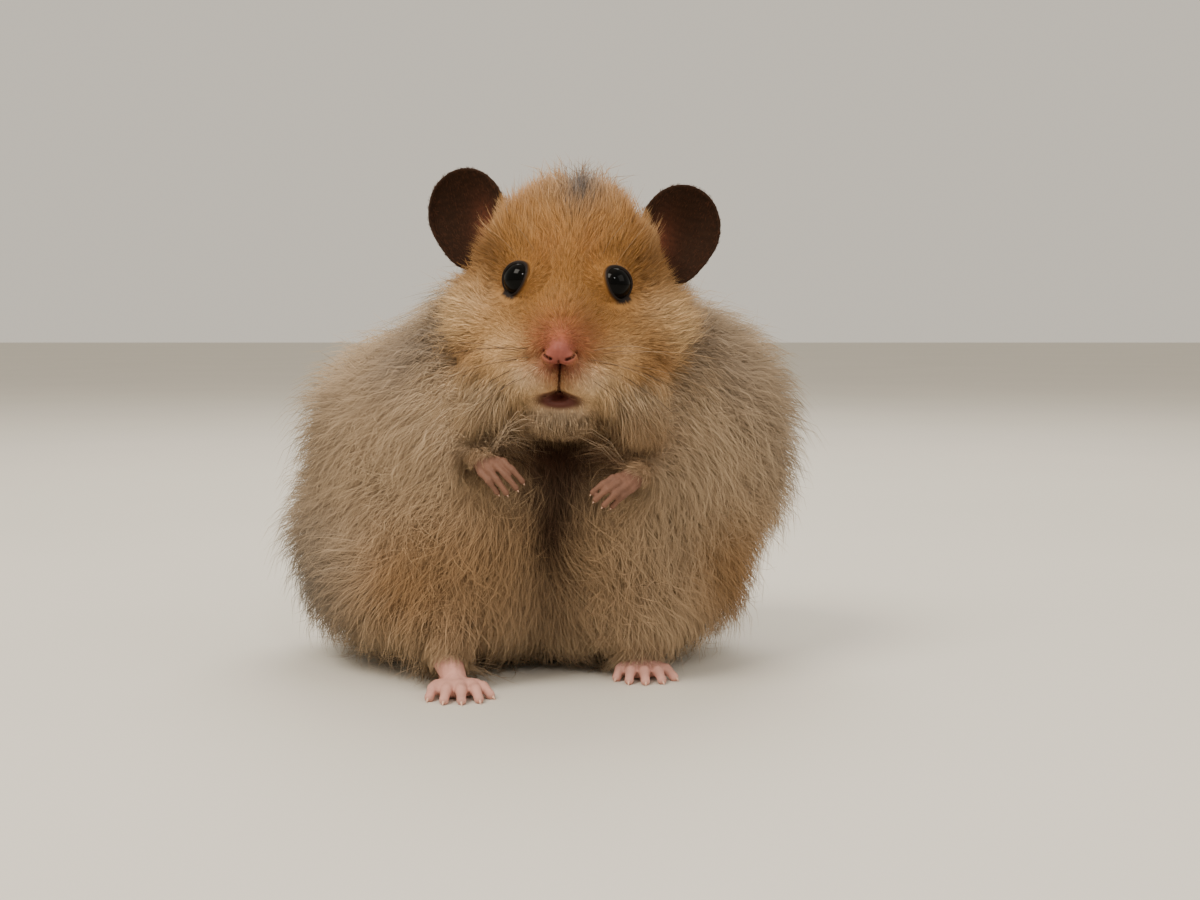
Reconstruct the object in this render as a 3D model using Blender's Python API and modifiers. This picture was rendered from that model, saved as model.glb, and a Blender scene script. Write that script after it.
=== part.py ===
"""A long-haired Syrian hamster sitting up on its haunches with its front paws at its chest.

The solids are the animal's outline out to the tips of its coat, parted into head, neck, trunk,
tail, arms, hands, haunches, shins, feet, ears, eyes, nose and chin. Lengths in the tables are
millimetres; the scene is in metres. The animal faces -Y, +Z is up, and its left side is +X.
"""
import math

import bmesh
import bpy
from mathutils import Euler, Matrix, Vector

MM = 0.001

# Driving sizes of the animal, in millimetres.
EYE_SPREAD = 20.3          # between the middles of the visible eyes
EYE_RADIUS = 3.5
HEAD_HALF_WIDTH = 25.0     # across the cheek fur
BODY_HALF_WIDTH = 53.0     # across the flank fur
PARTING_X = 2.5            # the middle of the chest and belly
GAP = 0.3                  # clearance between parts that meet

HEAD_PLACE = (6.3, -34.0, 79.3)    # the point between the eyes
EAR_ROOT_RIGHT, EAR_ROOT_LEFT = (-19.2, 14.5, 4.0), (18.6, 14.5, 2.6)   # in the head's frame
HEAD_ROLL, HEAD_YAW = 2.7, -2.5    # degrees

# Where the coat is parted.
THROAT, NECK_SLOPE, NECK_LENGTH = (6, -38, 50), 46.4, 10
JAW_CENTRE, JAW_RADII = (0, 3, -26.4), (8.5, 11.5, 4.2)     # in the head's frame
ARMS = [
    ("arm_right", (-25, -17, 57), (-11.0, -36.5, 46.2)),
    ("arm_left", (31, -15, 53), (20.4, -36.5, 43.0)),
]
SHINS = [("shin_right", (-17.6, -34, 8)), ("shin_left", (20.8, -20, 8))]
THIGHS = [("thigh_right", (-27, -17, 25), 20), ("thigh_left", (31, -11, 25), -20)]

# The ears: length, width, thickness, depth of the bowl, and squares across the grid.
EAR_LENGTH, EAR_WIDTH, EAR_THICKNESS, EAR_CUP, EAR_SQUARES = 18.6, 16.4, 1.0, 4.6, 8

# How finely the masses are fused, how often they are smoothed, and what each part keeps.
COARSE, FINE, PAW = 1.6, 1.0, 0.3
TRUNK_SMOOTHING, HEAD_SMOOTHING, COAT_SMOOTHING = 34, 12, 6
COAT_TRIANGLES, REGION_TRIANGLES, HAND_TRIANGLES, FOOT_TRIANGLES = 2260, 150, 380, 440
NOSE_TRIANGLES, TAIL_TRIANGLES = 220, 160

COLOURS = {
    "head": (0.60, 0.36, 0.15), "coat": (0.52, 0.43, 0.31), "skin": (0.66, 0.42, 0.38),
    "ear": (0.08, 0.045, 0.03), "eye": (0.01, 0.01, 0.012),
}
ROUGHNESS = {"head": 0.9, "coat": 0.9, "skin": 0.55, "ear": 0.7, "eye": 0.08}


def head_frame():
    """The matrix from the head's own millimetres to the animal's."""
    roll = Matrix.Rotation(math.radians(HEAD_ROLL), 4, "Y")
    yaw = Matrix.Rotation(math.radians(HEAD_YAW), 4, "Z")
    return Matrix.Translation(HEAD_PLACE) @ yaw @ roll


# ---------------------------------------------------------------- building blocks

def clear_scene():
    for thing in list(bpy.data.objects):
        bpy.data.objects.remove(thing)


def new_object(name, bm):
    """Puts a bmesh held in millimetres into the scene as an object in metres."""
    mesh = bpy.data.meshes.new(name)
    bm.transform(Matrix.Scale(MM, 4))
    bm.to_mesh(mesh)
    bm.free()
    made = bpy.data.objects.new(name, mesh)
    bpy.context.scene.collection.objects.link(made)
    return made


def ellipsoid(centre, radii, turn=(0, 0, 0), detail=3):
    """One mass of the body: a sphere stretched to three radii and turned, in degrees."""
    bm = bmesh.new()
    bmesh.ops.create_icosphere(bm, subdivisions=detail, radius=1.0)
    angles = Euler([math.radians(a) for a in turn])
    bm.transform(Matrix.LocRotScale(Vector(centre), angles, Vector(radii)))
    return bm


def taper(start, end, first, last, steps=5):
    """A round limb from start to end, as overlapping balls that shrink from first to last."""
    balls = []
    for step in range(steps + 1):
        share = step / steps
        centre = Vector(start).lerp(Vector(end), share)
        radius = first + (last - first) * share
        balls.append(ellipsoid(centre, (radius,) * 3, detail=2))
    return balls


def bent(points, radii, steps=4):
    """A limb through several points, with a radius at each."""
    balls = []
    for (start, end), (first, last) in zip(zip(points, points[1:]), zip(radii, radii[1:])):
        balls += taper(start, end, first, last, steps)
    return balls


def mirrored(centre):
    x, y, z = centre
    return [(-x, y, z), (x, y, z)]


def joined(name, blocks, matrix=None):
    """One object holding all these masses, each still its own closed shell."""
    whole = bmesh.new()
    for block in blocks:
        mesh = bpy.data.meshes.new("block")
        block.to_mesh(mesh)
        block.free()
        whole.from_mesh(mesh)
        bpy.data.meshes.remove(mesh)
    if matrix is not None:
        whole.transform(matrix)
    return new_object(name, whole)


def bake(thing):
    """Replaces the object's mesh by its modifiers' result."""
    graph = bpy.context.evaluated_depsgraph_get()
    mesh = bpy.data.meshes.new_from_object(thing.evaluated_get(graph))
    thing.modifiers.clear()
    thing.data = mesh
    return thing


def fuse(thing, voxel, smoothing):
    """Melts an object's overlapping shells into one smooth closed surface."""
    remesh = thing.modifiers.new("fuse", "REMESH")
    remesh.mode = "VOXEL"
    remesh.voxel_size = voxel * MM
    smooth = thing.modifiers.new("soften", "SMOOTH")
    smooth.factor = 0.5
    smooth.iterations = smoothing
    return bake(thing)


def thin_out(thing, triangles):
    """Collapses edges until about this many triangles are left."""
    have = sum(len(face.vertices) - 2 for face in thing.data.polygons)
    thin = thing.modifiers.new("thin", "DECIMATE")
    thin.ratio = min(1.0, triangles / have)
    return bake(thing)


def combine(thing, other, operation):
    """Applies a Boolean of thing with other, and leaves other as it is."""
    cut = thing.modifiers.new("cut", "BOOLEAN")
    cut.operation = operation
    cut.solver = "EXACT"
    cut.object = other
    return bake(thing)


def copy_of(thing, name):
    twin = bpy.data.objects.new(name, thing.data.copy())
    bpy.context.scene.collection.objects.link(twin)
    return twin


def grown(thing, distance):
    """A copy whose surface lies this many millimetres further out."""
    twin = copy_of(thing, thing.name + "_clearance")
    bm = bmesh.new()
    bm.from_mesh(twin.data)
    bm.normal_update()
    for vertex in bm.verts:
        vertex.co += vertex.normal * distance * MM
    bm.to_mesh(twin.data)
    bm.free()
    return twin


def keep_largest(thing):
    """Drops the crumbs that a cut can leave beside the main solid."""
    bm = bmesh.new()
    bm.from_mesh(thing.data)
    bmesh.ops.triangulate(bm, faces=bm.faces)
    seen, islands = set(), []
    for first in bm.verts:
        if first in seen:
            continue
        seen.add(first)
        island, todo = [], [first]
        while todo:
            vertex = todo.pop()
            island.append(vertex)
            for edge in vertex.link_edges:
                other = edge.other_vert(vertex)
                if other not in seen:
                    seen.add(other)
                    todo.append(other)
        islands.append(island)
    islands.sort(key=len)
    for island in islands[:-1]:
        bmesh.ops.delete(bm, geom=island, context="VERTS")
    bm.to_mesh(thing.data)
    bm.free()
    return thing


def remove(*things):
    for thing in things:
        bpy.data.objects.remove(thing)


def part_off(body, name, region):
    """Cuts the region out of the body as its own part, with the clearance between them."""
    part = combine(copy_of(body, name), region, "INTERSECT")
    clearance = grown(region, GAP)
    combine(body, clearance, "DIFFERENCE")
    remove(region, clearance)
    keep_largest(body)
    return keep_largest(part)


def make_room(body, *parts):
    """Cuts each part's own shape, and the clearance round it, out of the body."""
    for part in parts:
        clearance = grown(part, GAP)
        combine(body, clearance, "DIFFERENCE")
        remove(clearance)
    return keep_largest(body)


def box(name, low, high, matrix=None):
    bm = bmesh.new()
    bmesh.ops.create_cube(bm, size=1.0)
    low, high = Vector(low), Vector(high)
    size = high - low
    bm.transform(Matrix.LocRotScale((low + high) / 2, None, size))
    if matrix is not None:
        bm.transform(matrix)
    return new_object(name, bm)


# ---------------------------------------------------------------- the coat's masses

def trunk_masses():
    """A tall egg that leans forwards on a broad rump, with chest, nape and two belly lobes."""
    across = BODY_HALF_WIDTH
    return [
        ellipsoid((4.2, 4, 42), (across, 40, 43), (13, -8, 0)),
        ellipsoid((4.2, 0, 52), (across * 0.72, 34, 37.5), (13, 0, 0)),
        ellipsoid((-4.5, 9, 27.5), (across * 1.02, 38, 33)),
        ellipsoid((-29.5, 4, 50), (23.5, 26, 19)),
        ellipsoid((-5.0, 10, 18), (across * 0.94, 37, 24)),
        ellipsoid((-27, 8, 17), (27.5, 31, 21)),
        ellipsoid((PARTING_X + 2, -13, 50), (27, 25, 21)),
        ellipsoid((PARTING_X - 16, -18, 28), (17.5, 21.5, 25), (0, 5, 0)),
        ellipsoid((PARTING_X + 16, -15, 28), (17.5, 21.5, 25), (0, -5, 0)),
        ellipsoid((PARTING_X, -10, 28), (17, 21, 21)),
        ellipsoid((6, -15.5, 62.5), (27.5, 19.5, 19.5)),
        ellipsoid((6.3, -4, 76), (18, 18, 16)),
    ]


def haunch_masses():
    """The thighs' bulges and the fur sleeves of the shins."""
    masses = [
        ellipsoid((-30, -8, 20), (20, 25, 20), (0, 0, 14)),
        ellipsoid((29, 1, 20), (18, 24, 19), (0, 0, -10)),
    ]
    masses += taper((-18, -20, 15), (-17.6, -32, 9.0), 11, 5.6)
    masses += taper((21, -10, 15), (20.8, -18.5, 8.2), 11, 5.4)
    return masses


def arm_masses():
    """The furred arms, folded in front of the chest."""
    masses = taper((-25, -17, 57), (-11.6, -35.5, 46.6), 11, 5.8)
    masses += taper((31, -15, 53), (20.8, -35.5, 43.4), 11, 5.8)
    return masses


def head_masses():
    """The head in its own frame: x across, y back from the eyes, z up from the eyes."""
    cheek = HEAD_HALF_WIDTH
    masses = [
        ellipsoid((0, 15.5, 2.5), (19.5, 17.5, 18.3)),
        ellipsoid((0, 14, -8), (22, 16, 15)),
        ellipsoid((0, 7, -1), (12.5, 10.8, 12.5)),
        ellipsoid((0, -3.5, -7.0), (6.4, 9.6, 6.4), (38, 0, 0)),
        ellipsoid((0, -4.0, -13.6), (7.6, 8.4, 6.6)),
        ellipsoid((0, -2.8, -18.0), (8.6, 8.4, 5.8)),
        ellipsoid((0, 1.6, -23.6), (7.0, 7.8, 4.4)),
        ellipsoid((0, 11, -19), (17, 14, 9.5)),
    ]
    for x, y, z in mirrored((8.6, 4.0, -12.5)):
        masses.append(ellipsoid((x, y, z), (9.0, 10.5, 10.0)))
    for x, y, z in mirrored((11.2, 8.5, -17.5)):
        masses.append(ellipsoid((x, y, z), (13.0, 12.5, 10.2)))
    for x, y, z in mirrored((cheek * 0.50, 12.0, -10)):
        masses.append(ellipsoid((x, y, z), (cheek * 0.60, 14, 13.2)))
    for x, y, z in mirrored((5.6, -2.6, -15.2)):
        masses.append(ellipsoid((x, y, z), (6.4, 7.8, 6.0)))
    for x, y, z in mirrored((2.7, -7.2, -17.0)):
        masses.append(ellipsoid((x, y, z), (3.6, 4.5, 3.8)))
    for x, y, z in mirrored((12.6, 14.5, 8.0)):
        masses.append(ellipsoid((x, y, z), (9.0, 10.5, 9.2)))
    return masses


# ---------------------------------------------------------------- bare parts

def nose():
    """The pink nose pad, two wings beside a middle."""
    masses = [ellipsoid((0, -12.0, -12.4), (2.5, 2.6, 2.5))]
    for x, y, z in mirrored((1.6, -12.2, -13.6)):
        masses.append(ellipsoid((x, y, z), (1.5, 1.9, 1.4)))
    made = fuse(joined("nose", masses, head_frame()), 0.3, 3)
    return thin_out(made, NOSE_TRIANGLES)


def eye(name, side):
    bm = bmesh.new()
    bmesh.ops.create_uvsphere(bm, u_segments=14, v_segments=8, radius=EYE_RADIUS)
    centre = Vector((side * (EYE_SPREAD / 2 - 1.4), 1.2, 0))
    bm.transform(head_frame() @ Matrix.Translation(centre))
    made = new_object(name, bm)
    made.data.shade_smooth()
    return made


def ear_outline(angle):
    """How far the ear's rim lies from its middle: round above, drawn to a point at the root."""
    down = max(0.0, -math.cos(angle))
    return 1.0 + 0.34 * down ** 3 - 0.10 * down


def ear(name, side, root, lean, turn_out, tip_back):
    """A thin cupped ear. Its bowl opens forwards, and its root is a narrow neck."""
    bm = bmesh.new()
    bmesh.ops.create_grid(bm, x_segments=EAR_SQUARES, y_segments=EAR_SQUARES, size=1.0)
    for vertex in bm.verts:
        u, v = vertex.co.x, vertex.co.y
        x, z = u * math.sqrt(1 - v * v / 2), v * math.sqrt(1 - u * u / 2)
        share = min(1.0, math.hypot(x, z))
        angle = math.atan2(x, z)
        reach = share * ear_outline(angle)
        vertex.co = (math.sin(angle) * reach * EAR_WIDTH / 2, EAR_CUP * (1 - share ** 2),
                     math.cos(angle) * reach * EAR_LENGTH / 2)
    bmesh.ops.recalc_face_normals(bm, faces=bm.faces)
    rise = Matrix.Translation((0, 0, EAR_LENGTH * 0.5))
    angles = Euler([math.radians(a) for a in (tip_back, side * lean, side * turn_out)])
    bm.transform(head_frame() @ Matrix.LocRotScale(Vector(root), angles, None) @ rise)
    made = new_object(name, bm)
    wall = made.modifiers.new("wall", "SOLIDIFY")
    wall.thickness = EAR_THICKNESS * MM
    wall.offset = 0.0
    return bake(made)


def claw(tip, way, length, radius):
    """A small curved claw at the end of a digit."""
    end = Vector(tip) + Vector(way).normalized() * length
    drop = Vector((0, 0, -0.35 * length))
    middle = Vector(tip).lerp(end, 0.55)
    return bent([tip, middle, end + drop], [radius, radius * 0.8, radius * 0.5], 3)


def hand(name, wrist, knuckles, tips, side):
    """A small hand hanging from the wrist: palm, four fingers with claws, and a thumb pad."""
    wrist = Vector(wrist)
    blocks = []
    for knuckle, tip in zip(knuckles, tips):
        knuckle, tip = Vector(knuckle), Vector(tip)
        bend = knuckle.lerp(tip, 0.5) + Vector((0, -0.7, 0.25))
        blocks += bent([wrist.lerp(knuckle, 0.25), knuckle, bend, tip], [1.5, 1.15, 0.95, 0.8], 4)
        blocks += claw(tip, tip - bend, 1.3, 0.42)
    blocks += taper(wrist + Vector((0, 3.0, 0.8)), wrist, 2.3, 2.2, 3)
    palm = (wrist + sum((Vector(k) for k in knuckles), Vector()) / len(knuckles)) / 2
    blocks.append(ellipsoid(palm, (2.7, 1.6, 2.3), (0, side * 40, 0)))
    made = fuse(joined(name, blocks), PAW, 2)
    return thin_out(made, HAND_TRIANGLES)


def foot(name, heel, ankle, toes, ball):
    """A flat hind foot: heel, instep rising to the ankle, and five splayed toes with claws."""
    heel, ankle, ball = Vector(heel), Vector(ankle), Vector(ball)
    blocks = taper(heel, ball, 2.5, 2.6, 6)
    blocks += taper(ankle, ball + Vector((0, 1.5, 0.6)), 3.3, 2.5, 5)
    blocks += taper(ankle + Vector((0, 3.0, 5.0)), ankle, 3.6, 3.2, 4)
    blocks.append(ellipsoid(ball + Vector((0, -0.4, -0.2)), (4.4, 3.0, 1.9)))
    for root, tip in toes:
        root, tip = Vector(root), Vector(tip)
        bend = root.lerp(tip, 0.55) + Vector((0, 0, 0.55))
        blocks += bent([ball.lerp(root, 0.5), root, bend, tip], [1.7, 1.45, 1.25, 1.1], 4)
        blocks += claw(tip + Vector((0, 0, 0.1)), tip - bend, 1.5, 0.42)
    made = fuse(joined(name, blocks), PAW, 2)
    return thin_out(made, FOOT_TRIANGLES)


def tail():
    """The short bare tip of the tail, lying on the floor behind the rump."""
    blocks = bent([(-5, 38, 6.0), (-6, 44, 4.4), (-7.5, 50.0, 2.2)], [3.2, 2.6, 1.3], 5)
    return thin_out(fuse(joined("tail", blocks), 0.5, 3), TAIL_TRIANGLES)


def hands():
    """The animal's right hand is at -X."""
    right = hand(
        "hand_right", (-10.6, -38.5, 46.0),
        [(-9.6, -41.6, 43.4), (-8.2, -42.4, 44.1), (-6.7, -42.7, 44.8), (-5.5, -42.3, 45.6)],
        [(-6.6, -43.0, 39.9), (-4.9, -43.9, 39.9), (-3.0, -44.2, 40.8), (-1.9, -43.6, 42.0)], -1)
    left = hand(
        "hand_left", (20.4, -38.5, 43.0),
        [(18.6, -41.6, 40.4), (17.4, -42.5, 41.0), (16.0, -42.8, 41.7), (15.0, -42.2, 42.4)],
        [(15.0, -43.0, 37.3), (13.4, -43.9, 37.6), (11.8, -44.0, 38.6), (11.3, -43.3, 39.9)], 1)
    return right, left


def feet():
    """Each toe is a root on the ball of the foot and a tip on the floor."""
    right_toes = [
        ((-18.6, -38.0, 1.8), (-19.7, -42.1, 0.8)), ((-16.2, -39.7, 2.0), (-16.7, -44.5, 0.8)),
        ((-13.9, -39.9, 2.1), (-13.4, -44.7, 0.8)), ((-11.8, -39.1, 2.0), (-10.2, -43.5, 0.8)),
        ((-11.3, -37.3, 1.8), (-8.3, -40.1, 0.8))]
    left_toes = [
        ((17.4, -20.9, 1.8), (16.0, -24.3, 0.8)), ((19.0, -22.6, 2.0), (18.4, -27.2, 0.8)),
        ((21.2, -22.9, 2.1), (21.6, -27.8, 0.8)), ((23.4, -22.3, 2.0), (24.9, -26.9, 0.8)),
        ((24.3, -20.6, 1.8), (27.4, -24.0, 0.8))]
    right = foot("foot_right", (-18.0, -23.5, 2.0), (-17.2, -33.0, 6.4), right_toes,
                 (-15.2, -36.9, 2.0))
    left = foot("foot_left", (20.4, -7.0, 2.0), (20.8, -16.4, 6.2), left_toes,
                (20.9, -19.8, 2.0))
    return right, left


# ---------------------------------------------------------------- parting the coat

def whole_coat():
    """The coat's outer surface as one closed shape."""
    limbs = haunch_masses() + arm_masses()
    trunk = fuse(joined("trunk", trunk_masses() + limbs), COARSE, TRUNK_SMOOTHING)
    head = fuse(joined("face", head_masses(), head_frame()), FINE, HEAD_SMOOTHING)
    whole = bmesh.new()
    for shape in (trunk, head):
        whole.from_mesh(shape.data)
    remove(head)
    whole.to_mesh(trunk.data)
    whole.free()
    fuse(trunk, FINE, COAT_SMOOTHING)
    return thin_out(trunk, COAT_TRIANGLES)


def level_base(thing):
    """Cuts off what lies under the floor, which leaves a flat where the part stands."""
    under = box("under_floor", (-90, -90, -30), (90, 90, 0))
    combine(thing, under, "DIFFERENCE")
    remove(under)
    return keep_largest(thing)


def trimmed(part, coat):
    """The stretch of a bare part that shows outside the coat, a clearance away from it."""
    combine(part, coat, "DIFFERENCE")
    return keep_largest(part)


def limb_region(start, end, first, last):
    """A smooth blunt limb-shaped region to part off, from start to end."""
    region = fuse(joined("limb_region", taper(start, end, first, last)), COARSE, 4)
    return thin_out(region, REGION_TRIANGLES)


def mass_region(centre, radii, turn=(0, 0, 0), matrix=None):
    return joined("mass_region", [ellipsoid(centre, radii, turn, 2)], matrix)


def slab_region(low, high):
    """All that lies this far in front of the plane from the throat to behind the ears."""
    place = Matrix.Translation(THROAT) @ Matrix.Rotation(math.radians(NECK_SLOPE), 4, "X")
    return box("slab_region", (-70, -80, low), (70, 120, high), place)


def part_coat(body):
    """Divides the coat into the parts that a person would name. What is left is the trunk."""
    parts = [part_off(body, "jaw", mass_region(JAW_CENTRE, JAW_RADII, matrix=head_frame()))]
    for name, start, end in ARMS:
        parts.append(part_off(body, name, limb_region(start, end, 12, 7.5)))
    for name, centre in SHINS:
        parts.append(part_off(body, name, mass_region(centre, (9, 9.5, 10))))
    for name, centre, turn in THIGHS:
        parts.append(part_off(body, name, mass_region(centre, (19, 22, 21), (0, 0, turn))))
    parts.append(part_off(body, "head", slab_region(0, 90)))
    parts.append(part_off(body, "neck", slab_region(-NECK_LENGTH, 10)))
    return parts


# ---------------------------------------------------------------- finish

def material(name, colour):
    made = bpy.data.materials.new(name)
    made.use_nodes = True
    shader = made.node_tree.nodes["Principled BSDF"]
    shader.inputs["Base Color"].default_value = (*COLOURS[colour], 1.0)
    shader.inputs["Roughness"].default_value = ROUGHNESS[colour]
    return made


def dress(thing, collection):
    """Gives the part its material and files it in the animal's collection."""
    kind = thing.name.split("_")[0]
    colour = {"head": "head", "jaw": "head", "ear": "ear", "eye": "eye"}.get(kind, "coat")
    if kind in ("hand", "foot", "nose", "tail"):
        colour = "skin"
    thing.data.materials.clear()
    thing.data.materials.append(material(thing.name, colour))
    for user in list(thing.users_collection):
        user.objects.unlink(thing)
    collection.objects.link(thing)


def stand_on_origin(parts):
    """Moves the animal so that the middle of its base is the scene's origin."""
    corners = [vertex.co for part in parts for vertex in part.data.vertices]
    low = [min(corner[axis] for corner in corners) for axis in range(3)]
    high = [max(corner[axis] for corner in corners) for axis in range(3)]
    shift = Vector((-(low[0] + high[0]) / 2, -(low[1] + high[1]) / 2, -low[2]))
    for part in parts:
        part.data.transform(Matrix.Translation(shift))


def main():
    clear_scene()
    body = level_base(whole_coat())
    coat = grown(body, GAP)
    bare = [*hands(), *feet(), tail()]
    bare.append(ear("ear_right", -1, EAR_ROOT_RIGHT, 18, 14, -6))
    bare.append(ear("ear_left", 1, EAR_ROOT_LEFT, 18, 14, -6))
    bare = [trimmed(level_base(part), coat) for part in bare]
    set_in = [nose(), eye("eye_right", -1), eye("eye_left", 1)]
    make_room(body, *set_in)
    parts = part_coat(body)
    body.name = "trunk"
    remove(coat)
    animal = bpy.data.collections.new("syrian_hamster")
    bpy.context.scene.collection.children.link(animal)
    everything = [body, *parts, *bare, *set_in]
    stand_on_origin(everything)
    for part in everything:
        dress(part, animal)


if __name__ == "__main__":
    main()
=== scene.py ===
import math

import bmesh
import bpy
import numpy as np
from mathutils import Euler, Matrix, Vector
from mathutils.bvhtree import BVHTree
from mathutils.kdtree import KDTree


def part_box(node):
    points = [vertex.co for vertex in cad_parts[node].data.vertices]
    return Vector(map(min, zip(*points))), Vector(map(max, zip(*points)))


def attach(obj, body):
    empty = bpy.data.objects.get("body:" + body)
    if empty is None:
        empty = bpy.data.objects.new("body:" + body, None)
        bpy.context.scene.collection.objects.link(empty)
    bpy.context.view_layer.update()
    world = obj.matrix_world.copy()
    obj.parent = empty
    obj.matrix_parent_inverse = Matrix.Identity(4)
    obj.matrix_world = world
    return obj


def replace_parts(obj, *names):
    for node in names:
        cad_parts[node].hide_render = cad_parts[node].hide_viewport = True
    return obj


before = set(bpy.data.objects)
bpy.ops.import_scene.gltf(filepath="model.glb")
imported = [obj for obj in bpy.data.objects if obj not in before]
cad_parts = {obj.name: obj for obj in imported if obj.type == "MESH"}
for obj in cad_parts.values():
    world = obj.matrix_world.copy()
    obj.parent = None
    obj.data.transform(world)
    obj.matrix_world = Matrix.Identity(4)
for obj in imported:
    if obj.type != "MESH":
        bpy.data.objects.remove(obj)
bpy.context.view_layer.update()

MM = 0.001
RNG = np.random.default_rng(7)

FURRED = ["head", "jaw", "neck", "trunk", "arm_left", "arm_right", "thigh_left", "thigh_right",
          "shin_left", "shin_right"]
BARE = ["nose", "ear_left", "ear_right", "hand_left", "hand_right", "foot_left", "foot_right",
        "tail"]


# ---- places read from the frame

def middle(node):
    low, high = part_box(node)
    return (low + high) / 2 / MM


EYES = {-1: middle("eye_right"), 1: middle("eye_left")}
EYE_RADIUS = (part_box("eye_left")[1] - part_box("eye_left")[0]).z / 2 / MM
EYE_OUT, EYE_SET = 8.75, 1.2   # the eyeballs' middles in the head's own frame, out and back
EYE_ROOM = 6.2                 # how far round an eye's middle the skin is fine
EYE_SPOTS = {side: np.array((side * EYE_OUT, EYE_SET, 0)) for side in (-1, 1)}
TABLE_EYES = Vector((6.35, -32.8, 79.3))   # the eyes' middle, where the tables below put it
SHIFT = (EYES[1] + EYES[-1]) / 2 - TABLE_EYES
SHIFT.z = 0
PARTING_X = 2.5 + SHIFT.x  # where the belly's coat parts
SOLE_CLEAR, CLAW_CLEAR, FLOOR_CLEAR = 0.02, 0.05, 0.25      # least heights; the last is hair's


def head_matrix():
    """The head's own millimetres to the animal's: x across, y backwards, z up, from the eyes."""
    across = (EYES[1] - EYES[-1]).normalized()
    back = Vector((-across.y, across.x, 0)).normalized()
    up = across.cross(back)
    origin = (EYES[1] + EYES[-1]) / 2 - back * EYE_SET
    return Matrix.Translation(origin) @ Matrix((across, back, up)).transposed().to_4x4()


HEAD = head_matrix()


def turned(ways, matrix):
    return ways @ np.array(matrix.to_3x3()).T


def moved(points, matrix):
    return turned(points, matrix) + np.array(matrix.translation)


def to_head(points):
    """Rows of points of the animal, in the head's own frame."""
    return moved(points, HEAD.inverted())


def ramp(low, high, value):
    """0 below low, 1 above high, and a smooth rise between them."""
    share = np.clip((value - low) / (high - low), 0, 1)
    return share * share * (3 - 2 * share)


def mix(first, second, share):
    """The first where the share is 0 and the second where it is 1."""
    return first * (1 - share) + second * share


def bell(points, centre, radii):
    """1 at the centre, about 0.14 at the radii and 0 well past them."""
    away = (points - np.array(centre)) / np.array(radii)
    return np.exp(-2.0 * (away ** 2).sum(axis=1))


def far(points, centre):
    return np.linalg.norm(points - np.array(centre), axis=1)


def oval(points, centre, radii):
    """0 at the centre, 1 on the ellipsoid of these radii, and more outside it."""
    return far((points - np.array(centre)) / np.array(radii), 0)


def eye_gap(local):
    """How far points of the head's frame lie from the nearer eye's middle."""
    return np.minimum(far(local, EYE_SPOTS[-1]), far(local, EYE_SPOTS[1]))


HEAD_MIDDLE, HEAD_REACH = np.array((0, 9, -5)), np.array((28.5, 26, 26))
HEAD_TALLER = 1.4          # how much further the head reaches up than down


def head_share(local):
    """0 in the head's middle and 1 where it ends, by the head's own coordinates."""
    away = (local - HEAD_MIDDLE) / HEAD_REACH
    away[:, 2] /= np.where(away[:, 2] > 0, HEAD_TALLER, 1)
    return far(away, 0)


def in_head(local):
    """1 on the head, 0 on the body."""
    return 1 - ramp(0.94, 1.12, head_share(local))


def line_gap(points, stops):
    """How far each point lies from a line through the stops, and how far along it, 0 to 1."""
    stops = np.array(stops, float)
    best = np.full(len(points), 1e9)
    along = np.zeros(len(points))
    for index, (a, b) in enumerate(zip(stops, stops[1:])):
        way = b - a
        share = np.clip(((points - a) @ way) / (way @ way), 0, 1)
        gap = np.linalg.norm(points - a - share[:, None] * way, axis=1)
        along = np.where(gap < best, (index + share) / (len(stops) - 1), along)
        best = np.minimum(best, gap)
    return best, along


def waves(points, size, seed, count=7):
    """Smooth noise between about -1 and 1 whose features are about size across."""
    rng = np.random.default_rng(seed)
    total = np.zeros(len(points))
    for _ in range(count):
        way = rng.normal(size=3)
        way *= rng.uniform(0.7, 1.6) * 2 * math.pi / (2.2 * size) / np.linalg.norm(way)
        total += np.sin(points @ way + rng.uniform(0, 6.28))
    return total / math.sqrt(count)


def unit(rows):
    return rows / np.maximum(np.linalg.norm(rows, axis=-1, keepdims=True), 1e-9)


def linear(red, green, blue):
    """A colour as it is named on a chart, 0 to 255, as scene-linear light."""
    share = np.array([red, green, blue]) / 255
    return np.where(share < 0.04045, share / 12.92, ((share + 0.055) / 1.055) ** 2.4)


# ---- mesh helpers, in millimetres

def add_object(name, data):
    made = bpy.data.objects.new(name, data)
    bpy.context.scene.collection.objects.link(made)
    return made


def object_of(name, bm):
    mesh = bpy.data.meshes.new(name)
    bm.to_mesh(mesh)
    bm.free()
    return add_object(name, mesh)


def opened(thing):
    """The object's mesh, ready for modelling."""
    bm = bmesh.new()
    bm.from_mesh(thing.data)
    return bm


def ball(bm, centre, radii, turn=(0, 0, 0), detail=3):
    """Adds a sphere stretched to three radii and turned, in degrees."""
    angles = Euler([math.radians(a) for a in turn])
    place = Matrix.LocRotScale(Vector(centre), angles, Vector(radii))
    bmesh.ops.create_icosphere(bm, subdivisions=detail, radius=1.0, matrix=place)


def limb(bm, points, radii, steps=4):
    """Adds overlapping balls along several points, with a radius at each point."""
    for (a, b), (r, s) in zip(zip(points, points[1:]), zip(radii, radii[1:])):
        for step in range(steps + 1):
            share = step / steps
            ball(bm, Vector(a).lerp(Vector(b), share), (r + (s - r) * share,) * 3, detail=2)


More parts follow.
